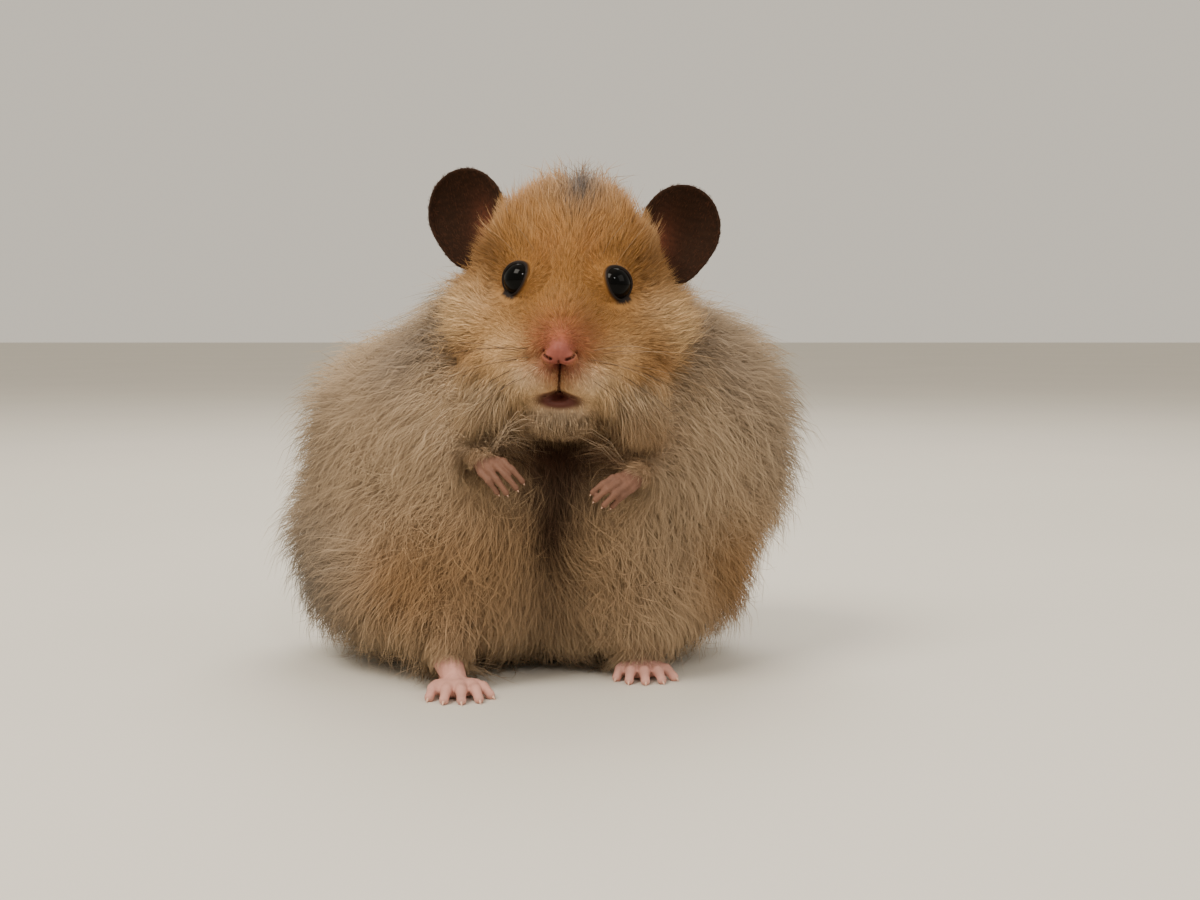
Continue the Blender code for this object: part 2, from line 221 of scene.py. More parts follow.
def apply(thing, kind, **settings):
    """Gives the object a modifier with these settings, and its mesh the result."""
    modifier = thing.modifiers.new(kind, kind)
    for setting, value in settings.items():
        setattr(modifier, setting, value)
    graph = bpy.context.evaluated_depsgraph_get()
    mesh = bpy.data.meshes.new_from_object(thing.evaluated_get(graph))
    thing.modifiers.clear()
    old = thing.data
    thing.data = mesh
    bpy.data.meshes.remove(old)
    return thing


def fuse(thing, voxel, smoothing):
    """Melts overlapping shells into one closed surface."""
    apply(thing, "REMESH", mode="VOXEL", voxel_size=voxel)
    return apply(thing, "SMOOTH", factor=0.5, iterations=smoothing)


def read(items, field, width, kind=np.float32):
    """One field of all of a mesh's items, as rows."""
    found = np.empty(len(items) * width, kind)
    items.foreach_get(field, found)
    return found.reshape(-1, width)


def read_points(thing):
    return read(thing.data.vertices, "co", 3).astype(float)


def write_points(thing, points):
    thing.data.vertices.foreach_set("co", points.astype(np.float32).ravel())
    thing.data.update()


def read_normals(thing):
    return read(thing.data.vertex_normals, "vector", 3).astype(float)


def refine(thing, chosen, cuts):
    """Subdivides the edges whose ends are both chosen, and the faces between them."""
    bm = opened(thing)
    bm.verts.ensure_lookup_table()
    edges = [e for e in bm.edges if chosen[e.verts[0].index] and chosen[e.verts[1].index]]
    bmesh.ops.subdivide_edges(bm, edges=edges, cuts=cuts, use_grid_fill=True, smooth=0.3)
    bmesh.ops.triangulate(bm, faces=[f for f in bm.faces if len(f.verts) > 4])
    bm.to_mesh(thing.data)
    bm.free()


def simplify(thing, share, group=""):
    """Merges small faces down to this share of them, in the whole mesh or in one group."""
    return apply(thing, "DECIMATE", ratio=share, vertex_group=group)


def unite(thing, other):
    """Joins the other closed shape to this one, with no seam, and removes it."""
    before = len(thing.data.vertices)
    apply(thing, "BOOLEAN", operation="UNION", solver="MANIFOLD", object=other)
    if len(thing.data.vertices) < before / 2:
        raise RuntimeError(f"{other.name} didn't join the skin")
    bpy.data.objects.remove(other)


# ---- the skin

# How each shape is melted together: the voxels' size and the steps of smoothing.
COAT_MELT, BODY_MELT, FORM_MELT, FACE_MELT = (1.0, 10), (1.25, 5), (0.8, 16), (0.42, 14)
EAR_MELT, HAND_MELT, FOOT_MELT, TAIL_MELT = (0.27, 2), (0.2, 2), (0.27, 3), (0.45, 3)


def coat_surface():
    """The coat's outer surface: the furred CAD nodes melted together."""
    bm = bmesh.new()
    for node in FURRED + ["nose", "eye_left", "eye_right"]:
        bm.from_mesh(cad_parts[node].data)
    bmesh.ops.remove_doubles(bm, verts=bm.verts, dist=1e-6)
    bm.transform(Matrix.Scale(1 / MM, 4))
    return fuse(object_of("coat_surface", bm), *COAT_MELT)


BODY_DEPTH, PAW_DEPTH, DEEPENING = 9.5, 1.6, 0.30
HEAD_DEEPER = 5.0          # more, where the head's own skin takes over
PAWS = ["hand_left", "hand_right", "foot_left", "foot_right"]


def body_skin(coat):
    """The trunk and limbs inside their coat, which thins out towards the paws."""
    skin = add_object("skin", coat.data.copy())
    points, normals = read_points(skin), read_normals(skin)
    depth = BODY_DEPTH + HEAD_DEEPER * (1 - ramp(0.70, 0.90, head_share(to_head(points))))
    for paw in PAWS:
        depth = np.minimum(depth, PAW_DEPTH + DEEPENING * far(points, middle(paw)))
    write_points(skin, points - normals * depth[:, None])
    return fuse(skin, *BODY_MELT)


# The face's own forms: a middle, three radii and a tilt about the x axis, in the head's frame.
FACE = [
    ((0, -9.3, -11.4), (2.9, 3.3, 3.0), 24),        # bridge of the nose
    ((0, -11.9, -13.2), (2.2, 2.4, 2.2), 0),        # nose pad
    ((0, 2.0, -19.5), (15.5, 9.3, 8.2), 0),         # jaws
    ((0, -3.2, -24.4), (6.0, 3.8, 2.8), 0),         # chin
    ((0, -6.2, -23.2), (3.9, 2.2, 1.6), 0),         # lower lip
]
FACE_PAIRS = [
    ((EYE_OUT, EYE_SET, 0), (3.7, 3.7, 3.7), 0),    # eyelids
    ((1.75, -11.6, -14.3), (1.75, 2.1, 1.35), 0),   # wings of the nose
    ((2.7, -7.2, -18.0), (3.1, 3.5, 4.3), 0),       # upper lip
    ((6.0, -4.6, -18.2), (4.4, 4.8, 4.6), 0),       # whisker pads
    ((10.5, -1.5, -17.0), (6.0, 6.0, 6.5), 0),      # cheeks
]

FACE_DEPTH, HEAD_DEPTH = 0.7, 3.8


def head_depth(local):
    """How deep the head's skin lies in its coat: little on the face, more all round it."""
    share = ramp(0.75, 1.45, oval(local, (0, -6, -8), (17, 22, 19)))
    return FACE_DEPTH + (HEAD_DEPTH - FACE_DEPTH) * share


def head_form(coat):
    """The head's share of the coat surface, sunk to the depth of its skin."""
    bm = bmesh.new()
    ball(bm, (0, 0, 0), HEAD_REACH * 1.04, detail=5)
    for vert in bm.verts:
        vert.co.z *= HEAD_TALLER if vert.co.z > 0 else 1
    bm.transform(HEAD @ Matrix.Translation(HEAD_MIDDLE))
    region = object_of("region", bm)
    form = add_object("form", coat.data.copy())
    apply(form, "BOOLEAN", operation="INTERSECT", solver="MANIFOLD", object=region)
    bpy.data.objects.remove(region)
    fuse(form, *FORM_MELT)
    points = read_points(form)
    local = to_head(points)
    edge = ramp(0.80, 1.0, head_share(local))
    depth = mix(head_depth(local), BODY_DEPTH + 1, edge)
    write_points(form, points - read_normals(form) * depth[:, None])
    return fuse(form, *FORM_MELT)


def head_skin(coat):
    """The head under its coat, with its eye sockets' bulges, the nose pad and the lips."""
    form = head_form(coat)
    bm = opened(form)
    bm.transform(HEAD.inverted())
    bpy.data.objects.remove(form)
    for centre, radii, tilt in FACE:
        ball(bm, centre, radii, (tilt, 0, 0))
    for (x, y, z), radii, tilt in FACE_PAIRS:
        for side in (-1, 1):
            ball(bm, (side * x, y, z), radii, (tilt, 0, 0))
    bm.transform(HEAD)
    head = fuse(object_of("head_skin", bm), *FACE_MELT)
    local = to_head(read_points(head))
    refine(head, (eye_gap(local) < EYE_ROOM) & (local[:, 1] < 4), 1)
    local = to_head(read_points(head))
    near_mouth = (np.abs(local[:, 0]) < 7.2) & (local[:, 1] < -4) & (local[:, 2] < -8.5)
    refine(head, near_mouth & (local[:, 2] > -27), 2)
    open_lids(head)
    shape_mouth(head)
    return head


# The opening between the lids: how far it turns from straight ahead and up, its half width
# and half height as angles at the eyeball, and its lean.
GAZE_OUT, GAZE_UP = 36, 4
LID_WIDE, LID_HIGH, LID_LEAN = 46, 66, -30
LID_RISE, LID_SHARP = 0.34, 1.9


def eye_place(local, side):
    """Where points lie round an eye: 1 on the lids' edge, less inside. Also the way out."""
    away = local - EYE_SPOTS[side]
    reach = np.linalg.norm(away, axis=1)
    out, up = math.radians(GAZE_OUT), math.radians(GAZE_UP)
    gaze = np.array((side * math.sin(out) * math.cos(up), -math.cos(out) * math.cos(up),
                     math.sin(up)))
    across = unit(np.cross((0, 0, 1), gaze)) * -side
    rise = np.cross(gaze, across) * -side
    ways = away / reach[:, None]
    angle = np.degrees(np.arccos(np.clip(ways @ gaze, -1, 1)))
    flat = np.stack([ways @ across, ways @ rise], axis=1)
    flat = unit(flat) * angle[:, None]
    lean = math.radians(LID_LEAN)
    wide = flat[:, 0] * math.cos(lean) + flat[:, 1] * math.sin(lean)
    high = -flat[:, 0] * math.sin(lean) + flat[:, 1] * math.cos(lean)
    share = (np.abs(wide / LID_WIDE) ** LID_SHARP + np.abs(high / LID_HIGH) ** LID_SHARP)
    return share ** (1 / LID_SHARP), ways, reach


def open_lids(head):
    """Sinks the skin behind each eyeball and raises a thin lid round its opening."""
    local = to_head(read_points(head))
    for side in (-1, 1):
        share, ways, reach = eye_place(local, side)
        low = EYE_RADIUS + LID_RISE - 9 * ramp(1.15, 1.6, share)
        high = EYE_RADIUS + LID_RISE + 3.0 * np.maximum(0, share - 1.1) ** 1.6
        behind = EYE_RADIUS - 0.7 + 1.04 * ramp(0.86, 1.0, share)
        wanted = np.where(share < 1, behind, np.clip(reach, low, high))
        near = ramp(EYE_RADIUS + 4.0, EYE_RADIUS + 2.2, reach) * (local[:, 1] < 9)
        wanted = reach + (wanted - reach) * near
        local = EYE_SPOTS[side] + ways * wanted[:, None]
    write_points(head, moved(local, HEAD))


NOSTRIL = [(2.95, -13.0), (2.6, -14.0), (1.45, -14.5)]
PHILTRUM = [(0, -14.8), (0, -17.5), (0, -20.4)]
MOUTH = [(-4.9, -21.9), (-3.2, -21.6), (-1.4, -21.0), (0, -20.4), (1.4, -21.0), (3.2, -21.6),
         (4.9, -21.9)]


def mouth_marks(local):
    """How much nostril, philtrum, mouth line and open mouth lies at each point, 0 to 1."""
    front = ramp(-1.5, -4.5, local[:, 1])
    flat = np.stack([np.abs(local[:, 0]), local[:, 2]], axis=1)
    gap, along = line_gap(flat, NOSTRIL)
    nostril = front * (1 - ramp(0.04, 0.30 + 0.14 * along, gap))
    gap, along = line_gap(flat, PHILTRUM)
    philtrum = front * (1 - ramp(0.05, 0.34 + 0.2 * along, gap))
    gap, _ = line_gap(local[:, ::2], MOUTH)
    line = front * (1 - ramp(0.1, 0.5, gap)) * (1 - ramp(2.6, 4.6, np.abs(local[:, 0])))
    floor = -20.4 - 0.5 * np.abs(local[:, 0])
    opening = ramp(0.3, -0.3, local[:, 2] - floor) * ramp(-22.6, -21.4, local[:, 2])
    opening = front * opening * (1 - ramp(0.6, 3.2, np.abs(local[:, 0])))
    return nostril, philtrum, line, opening


def shape_mouth(head):
    """Presses in the nostrils, the groove below the nose and the mouth, and swells the lips."""
    local = to_head(read_points(head))
    nostril, philtrum, line, opening = mouth_marks(local)
    inward = 0.95 * nostril + 0.75 * philtrum + 0.7 * line + 0.8 * opening
    groove = bell(local, (0, -12.5, -13.0), (0.45, 4, 1.9))
    flange = bell(local, (1.75, -12.5, -15.1), (1.1, 3, 0.7))
    flange += bell(local, (-1.75, -12.5, -15.1), (1.1, 3, 0.7))
    lip = bell(local, (0, -7, -23.1), (3.8, 6, 1.0))
    local[:, 1] += np.maximum(inward, 0.22 * groove) - 0.3 * flange - 0.4 * lip
    write_points(head, moved(local, HEAD))


# Each ear's side and root in the head's frame; then half sizes, and angles in degrees.
EAR_ROOTS = [(-1, (-19.2, 14.5, 4.0)), (1, (18.6, 14.5, 2.6))]
EAR_WIDE, EAR_HIGH, EAR_THICK, EAR_CUP = 8.2, 9.3, 0.6, 4.4
EAR_LEAN, EAR_TURN, EAR_TIP = 18, 14, -6
RIM_ROLL, EAR_SEGMENTS = 0.86, 46       # where the rim starts to roll, and the grid's cells


def ear_reach(angle):
    """How far the rim lies from the middle: round above, drawn to a point at the root."""
    down = np.maximum(0, -np.cos(angle))
    return 1.0 + 0.34 * down ** 3 - 0.10 * down


def ear_matrix(side, root):
    angles = Euler([math.radians(a) for a in (EAR_TIP, side * EAR_LEAN, side * EAR_TURN)])
    return HEAD @ Matrix.LocRotScale(Vector(root), angles, None) @ Matrix.Translation(
        (0, 0, EAR_HIGH))


def ear_skin(side, root):
    """A thin cupped ear with a rolled rim, a thick root and faint ribs across its bowl."""
    bm = bmesh.new()
    bmesh.ops.create_grid(bm, x_segments=EAR_SEGMENTS, y_segments=EAR_SEGMENTS, size=1.0)
    for vert in bm.verts:
        u, v = vert.co.x, vert.co.y
        x, z = u * math.sqrt(1 - v * v / 2), v * math.sqrt(1 - u * u / 2)
        share = min(1.0, math.hypot(x, z))
        angle = math.atan2(x, z)
        reach = share * float(ear_reach(angle))
        place = Vector((math.sin(angle) * reach * EAR_WIDE, 0, math.cos(angle) * reach * EAR_HIGH))
        place.y = EAR_CUP * (1 - share ** 2)
        outer = max(0.0, side * math.sin(angle))
        roll = max(0.0, share - RIM_ROLL) / (1 - RIM_ROLL)
        place.y -= 0.6 * roll ** 2 * (0.3 + outer)
        place.x -= side * 0.4 * roll ** 2 * outer
        place.y -= 0.06 * math.sin(place.z * 2.6 + 0.7 * place.x) * outer * (share < 0.93)
        place.y -= 1.5 * math.exp(-((place.x + side * 2.2) ** 2 / 5 + (place.z + 5.5) ** 2 / 16))
        vert.co = place
    bmesh.ops.recalc_face_normals(bm, faces=bm.faces)
    ear = object_of("ear", bm)
    bm = opened(apply(ear, "SOLIDIFY", thickness=EAR_THICK, offset=0.0))
    limb(bm, [(-side * 1.0, 4.5, -13.0), (-side * 1.2, 4.8, -8.0), (-side * 1.0, 4.9, -4.0)],
         [3.6, 2.6, 0.7])
    bm.transform(ear_matrix(side, root))
    bpy.data.objects.remove(ear)
    return fuse(object_of("ear_skin", bm), *EAR_MELT)


# Each digit of a hand is a knuckle and a tip; the wrist and the digits are in millimetres.
HANDS = [
    (-1, (-10.6, -38.5, 46.0), [
        ((-9.6, -41.6, 43.4), (-6.6, -43.0, 39.9)), ((-8.2, -42.4, 44.1), (-4.9, -43.9, 39.9)),
        ((-6.7, -42.7, 44.8), (-3.0, -44.2, 40.8)), ((-5.5, -42.3, 45.6), (-1.9, -43.6, 42.0))]),
    (1, (20.4, -38.5, 43.0), [
        ((18.6, -41.6, 40.4), (15.0, -43.0, 37.3)), ((17.4, -42.5, 41.0), (13.4, -43.9, 37.6)),
        ((16.0, -42.8, 41.7), (11.8, -44.0, 38.6)), ((15.0, -42.2, 42.4), (11.3, -43.3, 39.9))]),
]
FEET = [
    ((-18.0, -23.5, 2.0), (-17.2, -33.0, 6.4), (-15.2, -36.9, 2.0), [
        ((-18.6, -38.0, 1.8), (-19.7, -42.1, 0.8)), ((-16.2, -39.7, 2.0), (-16.7, -44.5, 0.8)),
        ((-13.9, -39.9, 2.1), (-13.4, -44.7, 0.8)), ((-11.8, -39.1, 2.0), (-10.2, -43.5, 0.8)),
        ((-11.3, -37.3, 1.8), (-8.3, -40.1, 0.8))]),
    ((20.4, -7.0, 2.0), (20.8, -16.4, 6.2), (20.9, -19.8, 2.0), [
        ((17.4, -20.9, 1.8), (16.0, -24.3, 0.8)), ((19.0, -22.6, 2.0), (18.4, -27.2, 0.8)),
        ((21.2, -22.9, 2.1), (21.6, -27.8, 0.8)), ((23.4, -22.3, 2.0), (24.9, -26.9, 0.8)),
        ((24.3, -20.6, 1.8), (27.4, -24.0, 0.8))]),
]


# A digit's middle joint: how far along it lies, and how far out of line. Then its last joint.
FINGER_JOINTS = (0.48, Vector((0, -0.8, 0.3))), (0.55, Vector((0, -0.15, 0.1)))
TOE_JOINTS = (0.5, Vector((0, 0, 0.7))), (0.6, Vector((0, 0, 0.1)))
FINGER_GIRTHS, TOE_GIRTHS = [1.3, 0.85, 0.62, 0.74, 0.55, 0.62], [1.7, 1.6, 1.3, 1.25, 0.95, 1.0]


def joint_of(start, tip, joint):
    share, out = joint
    return start.lerp(tip, share) + out


def add_digit(bm, start, root, tip, joints, girths):
    """A bent digit with swollen joints and tip, which grows out of the paw at start."""
    bend = joint_of(root, tip, joints[0])
    last = joint_of(bend, tip, joints[1])
    limb(bm, [start, root, root.lerp(bend, 0.5), bend, last, tip], girths, 4)


def hand_skin(side, wrist, digits):
    """A small hand: palm, wrist pads and four bent fingers."""
    bm = bmesh.new()
    wrist = Vector(wrist)
    palm = Vector()
    for knuckle, tip in digits:
        knuckle, tip = Vector(knuckle), Vector(tip)
        palm += knuckle / len(digits)
        add_digit(bm, wrist.lerp(knuckle, 0.25), knuckle, tip, FINGER_JOINTS, FINGER_GIRTHS)
        ball(bm, tip + Vector((0, 0.45, 0)), (0.55, 0.5, 0.62), detail=2)
    limb(bm, [wrist + Vector((0, 4.5, 1.2)), wrist], [2.2, 2.0], 4)
    ball(bm, (wrist + palm) / 2, (2.3, 1.35, 2.0), (0, side * 40, 0))
    bm.transform(Matrix.Translation(SHIFT))
    return fuse(object_of("hand_skin", bm), *HAND_MELT)


def lift(thing, least):
    """Raises the points that lie lower than least to that height."""
    points = read_points(thing)
    points[:, 2] = np.maximum(points[:, 2], least)
    write_points(thing, points)
    return points


def foot_skin(heel, ankle, sole, toes):
    """A flat hind foot: heel, instep and five splayed toes."""
    bm = bmesh.new()
    heel, ankle, sole = Vector(heel), Vector(ankle), Vector(sole)
    limb(bm, [heel, sole], [2.4, 2.5], 7)
    limb(bm, [ankle + Vector((0, 4.0, 7.0)), ankle, sole + Vector((0, 1.5, 0.4))],
         [3.4, 3.1, 2.3], 5)
    ball(bm, sole + Vector((0, -1.4, -0.2)), (4.5, 3.7, 1.8))
    for root, tip in toes:
        root, tip = Vector(root), Vector(tip)
        add_digit(bm, sole.lerp(root, 0.5), root, tip, TOE_JOINTS, TOE_GIRTHS)
    bm.transform(Matrix.Translation(SHIFT))
    foot = fuse(object_of("foot_skin", bm), *FOOT_MELT)
    lift(foot, SOLE_CLEAR)
    return foot


# Where the coat ends on each paw and the tail: a place, and the way on from it.
LIMB_ENDS = [
    ("hand_right", (-10.5, -39.9, 45.0), (0.25, -0.55, -0.80)),
    ("hand_left", (20.0, -39.9, 42.0), (-0.35, -0.55, -0.76)),
    ("foot_right", (-16.6, -33.1, 5.6), (0.10, -0.45, -0.89)),
    ("foot_left", (21.0, -16.3, 5.4), (0.05, -0.45, -0.89)),
    ("tail", (-5.2, 40.8, 5.4), (-0.1, 0.95, -0.3)),
]
LIMB_ENDS = [(node, Vector(joint) + SHIFT, way) for node, joint, way in LIMB_ENDS]


def tail_skin():
    bm = bmesh.new()
    limb(bm, [(-5, 30, 8.0), (-5, 38, 6.0), (-6, 44, 4.4), (-7.2, 49.3, 2.4)],
         [3.6, 3.0, 2.3, 1.2], 6)
    bm.transform(Matrix.Translation(SHIFT))
    return fuse(object_of("tail_skin", bm), *TAIL_MELT)


MOST_SKIN_FACES = 190000
HAND_SHARE, FOOT_SHARE, TAIL_SHARE = 0.5, 0.4, 0.5      # how many of their faces each keeps


def thin_under_coat(skin):
    """Merges small faces where the coat hides the skin, and keeps those of its bare parts."""
    points = read_points(skin)
    local = to_head(points)
    bare = np.maximum.reduce(list(bare_shares(points).values())) > 0.02
    bare |= oval(local, (0, -9, -17), (7.5, 8, 9.5)) < 1
    bare |= eye_gap(local) < EYE_ROOM + 0.3
    group = skin.vertex_groups.new(name="covered")
    group.add(np.flatnonzero(~bare).tolist(), 1.0, "REPLACE")
    skin.data.calc_loop_triangles()
    simplify(skin, min(1.0, MOST_SKIN_FACES / len(skin.data.loop_triangles)), group.name)
    skin.vertex_groups.clear()


def whole_skin(coat):
    skin = body_skin(coat)
    unite(skin, head_skin(coat))
    for side, root in EAR_ROOTS:
        unite(skin, ear_skin(side, root))
    for side, wrist, digits in HANDS:
        unite(skin, simplify(hand_skin(side, wrist, digits), HAND_SHARE))
    for foot in FEET:
        unite(skin, simplify(foot_skin(*foot), FOOT_SHARE))
    unite(skin, simplify(tail_skin(), TAIL_SHARE))
    thin_under_coat(skin)
    skin.data.shade_smooth()
    return skin


# ---- colours of skin and coat

ORANGE, DEEP_ORANGE, GOLD = linear(146, 101, 50), linear(142, 88, 42), linear(198, 152, 98)
CREAM, WHITE, BEIGE = linear(208, 179, 143), linear(230, 208, 182), linear(174, 151, 124)
GREY, TAN, BROWN = linear(96, 90, 84), linear(142, 102, 58), linear(104, 68, 34)
CHARCOAL, DARK_BROWN, PINK = linear(70, 71, 76), linear(36, 9, 1), linear(131, 73, 62)
RED_PINK, EAR_DARK, EAR_RED = linear(162, 88, 70), linear(40, 24, 14), linear(80, 44, 30)
MOUTH_DARK, MAUVE, LID_DARK = linear(62, 24, 16), linear(73, 38, 30), linear(22, 14, 11)
EAR_HAIR, PALE = linear(76, 46, 30), linear(222, 188, 142)
# The hands' pink is the paws' dusky pink, darkened as painted shade under the head.
PAW_PINK, HAND_PINK_IN_SHADE, HIP = linear(194, 144, 131), linear(112, 80, 65), linear(126, 84, 34)
PUPIL, IRIS, CLAW = linear(3, 3, 3), linear(9, 7, 6), linear(202, 160, 138)
WHISKER_ROOT, WHISKER_TIP = linear(92, 66, 44), linear(186, 154, 116)
DARK_ROOT, DARK_TIP = linear(34, 24, 18), linear(90, 66, 46)       # of the darker whiskers

# Markings of the body: colour, middle, radii and strength.
BODY_MARKS = [
    (CREAM, (3, -24, 62), (50, 34, 16), 0.60),          # chest
    # The belly's tan and the brown below it: its own colour, darkened low down as painted shade of
    # the underside.
    (TAN, (-2, -50, 24), (36, 34, 22), 0.85),           # belly
    (BROWN, (3, -46, 10), (34, 30, 14), 0.60),
    (GREY, (-56, 0, 48), (22, 44, 34), 0.40),           # flanks
    (GREY, (58, 0, 46), (20, 44, 34), 0.40),
    (GREY, (-50, -4, 14), (22, 36, 22), 1.0),           # rump, right and left
    (BROWN, (50, -8, 10), (18, 34, 12), 0.75),
    (HIP, (-27, -32, 19), (17, 26, 18), 0.62),          # thighs
    (HIP, (41, -13, 19), (17, 30, 17), 0.66),
    # The wrists' brown: the sleeves' brown-tan fur, with painted shade where the forearms' fur
    # covers them.
    (BROWN, (-10.5, -38, 45.5), (5, 6, 4), 0.60),       # wrists
    (BROWN, (20.5, -38, 42.5), (5, 6, 4), 0.60),
    (GOLD, (0, 42, 52), (34, 22, 32), 0.60),            # back
    (GREY, (0, 26, 86), (18, 16, 10), 0.50),            # nape
]
# Markings of the head, in its own frame; each is on both sides.
HEAD_MARKS = [
    (GOLD, (0, 4, 11), (15, 18, 8), 0.25),
    (CREAM, (0, 10, 21), (15, 16, 6), 0.35),
    (DEEP_ORANGE, (4, -2, 8), (4, 14, 7), 0.40),
    # Temples between eye and ear: brownish fur, darkened as painted shadow of the ears.
    (BROWN, (17.5, 4, 6), (5.4, 12, 7), 0.95),
    (GOLD, (17, 2, -9), (9, 16, 9), 0.75),
    (CREAM, (18, 8, -5), (6, 14, 5), 0.55),
    (BEIGE, (0, 30, 4), (30, 10, 24), 0.90),
    (PALE, (24, 6, -8), (8, 20, 13), 0.90),
    (DEEP_ORANGE, (19.5, 2, -14.5), (4.5, 16, 5), 0.50),
    (CREAM, (22, 6, -23), (13, 20, 6.5), 0.80),
    (TAN, (12, -1, -7), (5, 12, 3), 0.45),
    (PALE, (12, -2, -13), (6, 14, 5), 0.45),
    (PALE, (8, -6, -19), (9, 14, 6), 0.90),
    (WHITE, (6.5, -8, -19), (5, 12, 3.6), 0.45),
    (CREAM, (15, 4, -23), (13, 18, 5), 0.75),
    (PALE, (7, -6, -23), (6, 14, 4), 0.50),
    (WHITE, (0, -3, -26.5), (9, 14, 5), 0.95),
    # Painted shadow under the chin.
    (BROWN, (0, 8, -34), (26, 18, 4.5), 0.85),
    (CREAM, (18, 14, 15), (4, 10, 6), 0.70),
    (RED_PINK, (0, -9, -11.5), (9, 12, 7.2), 0.90),
    (PINK, (2.2, -10, -16.6), (4.6, 8, 3.4), 0.60),
]
# Markings that lie over head and body both, in the animal's own place.
SHARED_MARKS = [
    (CHARCOAL, (-28, -15, 64), (13, 20, 16), 0.66),         # shoulders
    (CHARCOAL, (40, -13, 62), (14, 20, 17), 0.44),
    # Painted shadow under the chin, across the throat and along the arms; the next is painted
    # shadow under the ruff on the left side.
    (BROWN, (5.0, -38, 45), (25, 20, 6), 0.90),             # along the arms
    (BROWN, (23, -38, 49.5), (9, 20, 5), 0.60),
    # Dark brown chest fur between the arms and down the parting, deepened with painted shade; the
    # lowest mark is also painted shadow under the belly between the feet.
    (DARK_BROWN, (4.5, -40, 44.5), (15, 28, 6.5), 0.80),    # between the arms
    (DARK_BROWN, (5.5, -40, 39), (12, 26, 13), 0.92),
    (DARK_BROWN, (3.4, -36, 27), (7, 30, 20), 1.0),         # down the parting
    (DARK_BROWN, (3.4, -34, 8), (10, 24, 8), 0.65),
]
# Markings of one side of the head only: a dark grey tuft on the crown, and the cheeks' own pale
# and tan fur, made paler on the right where the key lamp falls and darker on the left, as painted
# light and shade.
ONE_SIDED_MARKS = [
    (CHARCOAL, (1.0, 12, 22), (5.0, 12, 11), 1.0),
    (TAN, (18, 0, -14), (10, 16, 11), 0.50),
    (PALE, (-17, 0, -14), (10, 16, 12), 0.30),
    (PALE, (-9.6, -6, -12), (4, 8, 4), 0.35),
]


def marked(tint, points, marks):
    for colour, centre, radii, strength in marks:
        tint = mix(tint, colour, strength * bell(points, centre, radii)[:, None])
    return tint


def coat_tint(points):
    """The coat's colour at each place, the same for the skin beneath."""
    local = to_head(points)
    both = np.hstack([np.abs(local[:, :1]), local[:, 1:]])
    points = points - np.array(SHIFT)
    body = marked(np.tile(BEIGE, (len(points), 1)), points, BODY_MARKS)
    head = marked(np.tile(ORANGE, (len(points), 1)), both, HEAD_MARKS)
    head = marked(head, local, ONE_SIDED_MARKS)
    return marked(mix(body, head, in_head(local)[:, None]), points, SHARED_MARKS)


def ear_share(points, side, root):
    """How far out on an ear points lie: 0 at its middle, 1 at its rim and 9 off it. Also their
    places in the ear's own frame."""
    own = moved(points, ear_matrix(side, root).inverted())
    angle = np.arctan2(own[:, 0] / EAR_WIDE, own[:, 2] / EAR_HIGH)
    reach = np.hypot(own[:, 0] / EAR_WIDE, own[:, 2] / EAR_HIGH) / ear_reach(angle)
    off = np.abs(own[:, 1] - EAR_CUP * (1 - np.clip(reach, 0, 1) ** 2)) > 2.2
    return np.where(off | (reach > 1.15), 9.0, reach), own


def bare_shares(points):
    """How far each place is bare nose, lid, mouth, ear, paw, dark cleft with painted shade, or
    lip, each 0 to 1.
    """
    local = to_head(points)
    front = ramp(-5.5, -8.5, local[:, 1])
    pad = np.hypot(local[:, 0] / 3.6, (local[:, 2] + 13.6) / 3.4)
    nose = front * (1 - ramp(0.45, 1.15, pad))
    lid = np.zeros(len(points))
    for side in (-1, 1):
        share, _, reach = eye_place(local, side)
        lid = np.maximum(lid, ramp(1.12, 1.02, share) * ramp(1.4, 0.7, reach - EYE_RADIUS))
    nostril, philtrum, line, opening = mouth_marks(local)
    lower = ramp(-1.5, -4.0, local[:, 1]) * (np.abs(local[:, 0]) < 6)
    lip = lower * (1 - ramp(0.5, 1.25, np.hypot(local[:, 0] / 5.2, (local[:, 2] + 22.5) / 1.7)))
    mouth = np.maximum.reduce([philtrum, line, opening, lip])
    ear = np.zeros(len(points))
    for side, root in EAR_ROOTS:
        reach, own = ear_share(points, side, root)
        furred = -side * 0.88 * own[:, 0] - 0.47 * own[:, 2] - 6.6
        on = (reach < 2) * ramp(0.9, -0.9, furred)
        ear = np.maximum(ear, on)
    paw = np.zeros(len(points))
    for node, joint, way in LIMB_ENDS:
        low, high = (np.array(corner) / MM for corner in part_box(node))
        edge = np.maximum(low - points, points - high).max(axis=1)
        beyond = (points - np.array(joint)) @ np.array(way)
        paw = np.maximum(paw, ramp(-0.7, 0.9, beyond) * ramp(2.0, 1.2, edge))
    # The dark of the nostrils, the groove under the nose and the mouth is painted shade in these
    # hollows, over the dark red inside the mouth.
    dark = np.maximum.reduce([0.85 * nostril, 0.8 * philtrum, 0.7 * line, 0.9 * opening])
    return {"nose": nose, "lid": lid, "mouth": mouth, "ear": ear, "paw": paw,
            "dark": dark, "lip": lip}


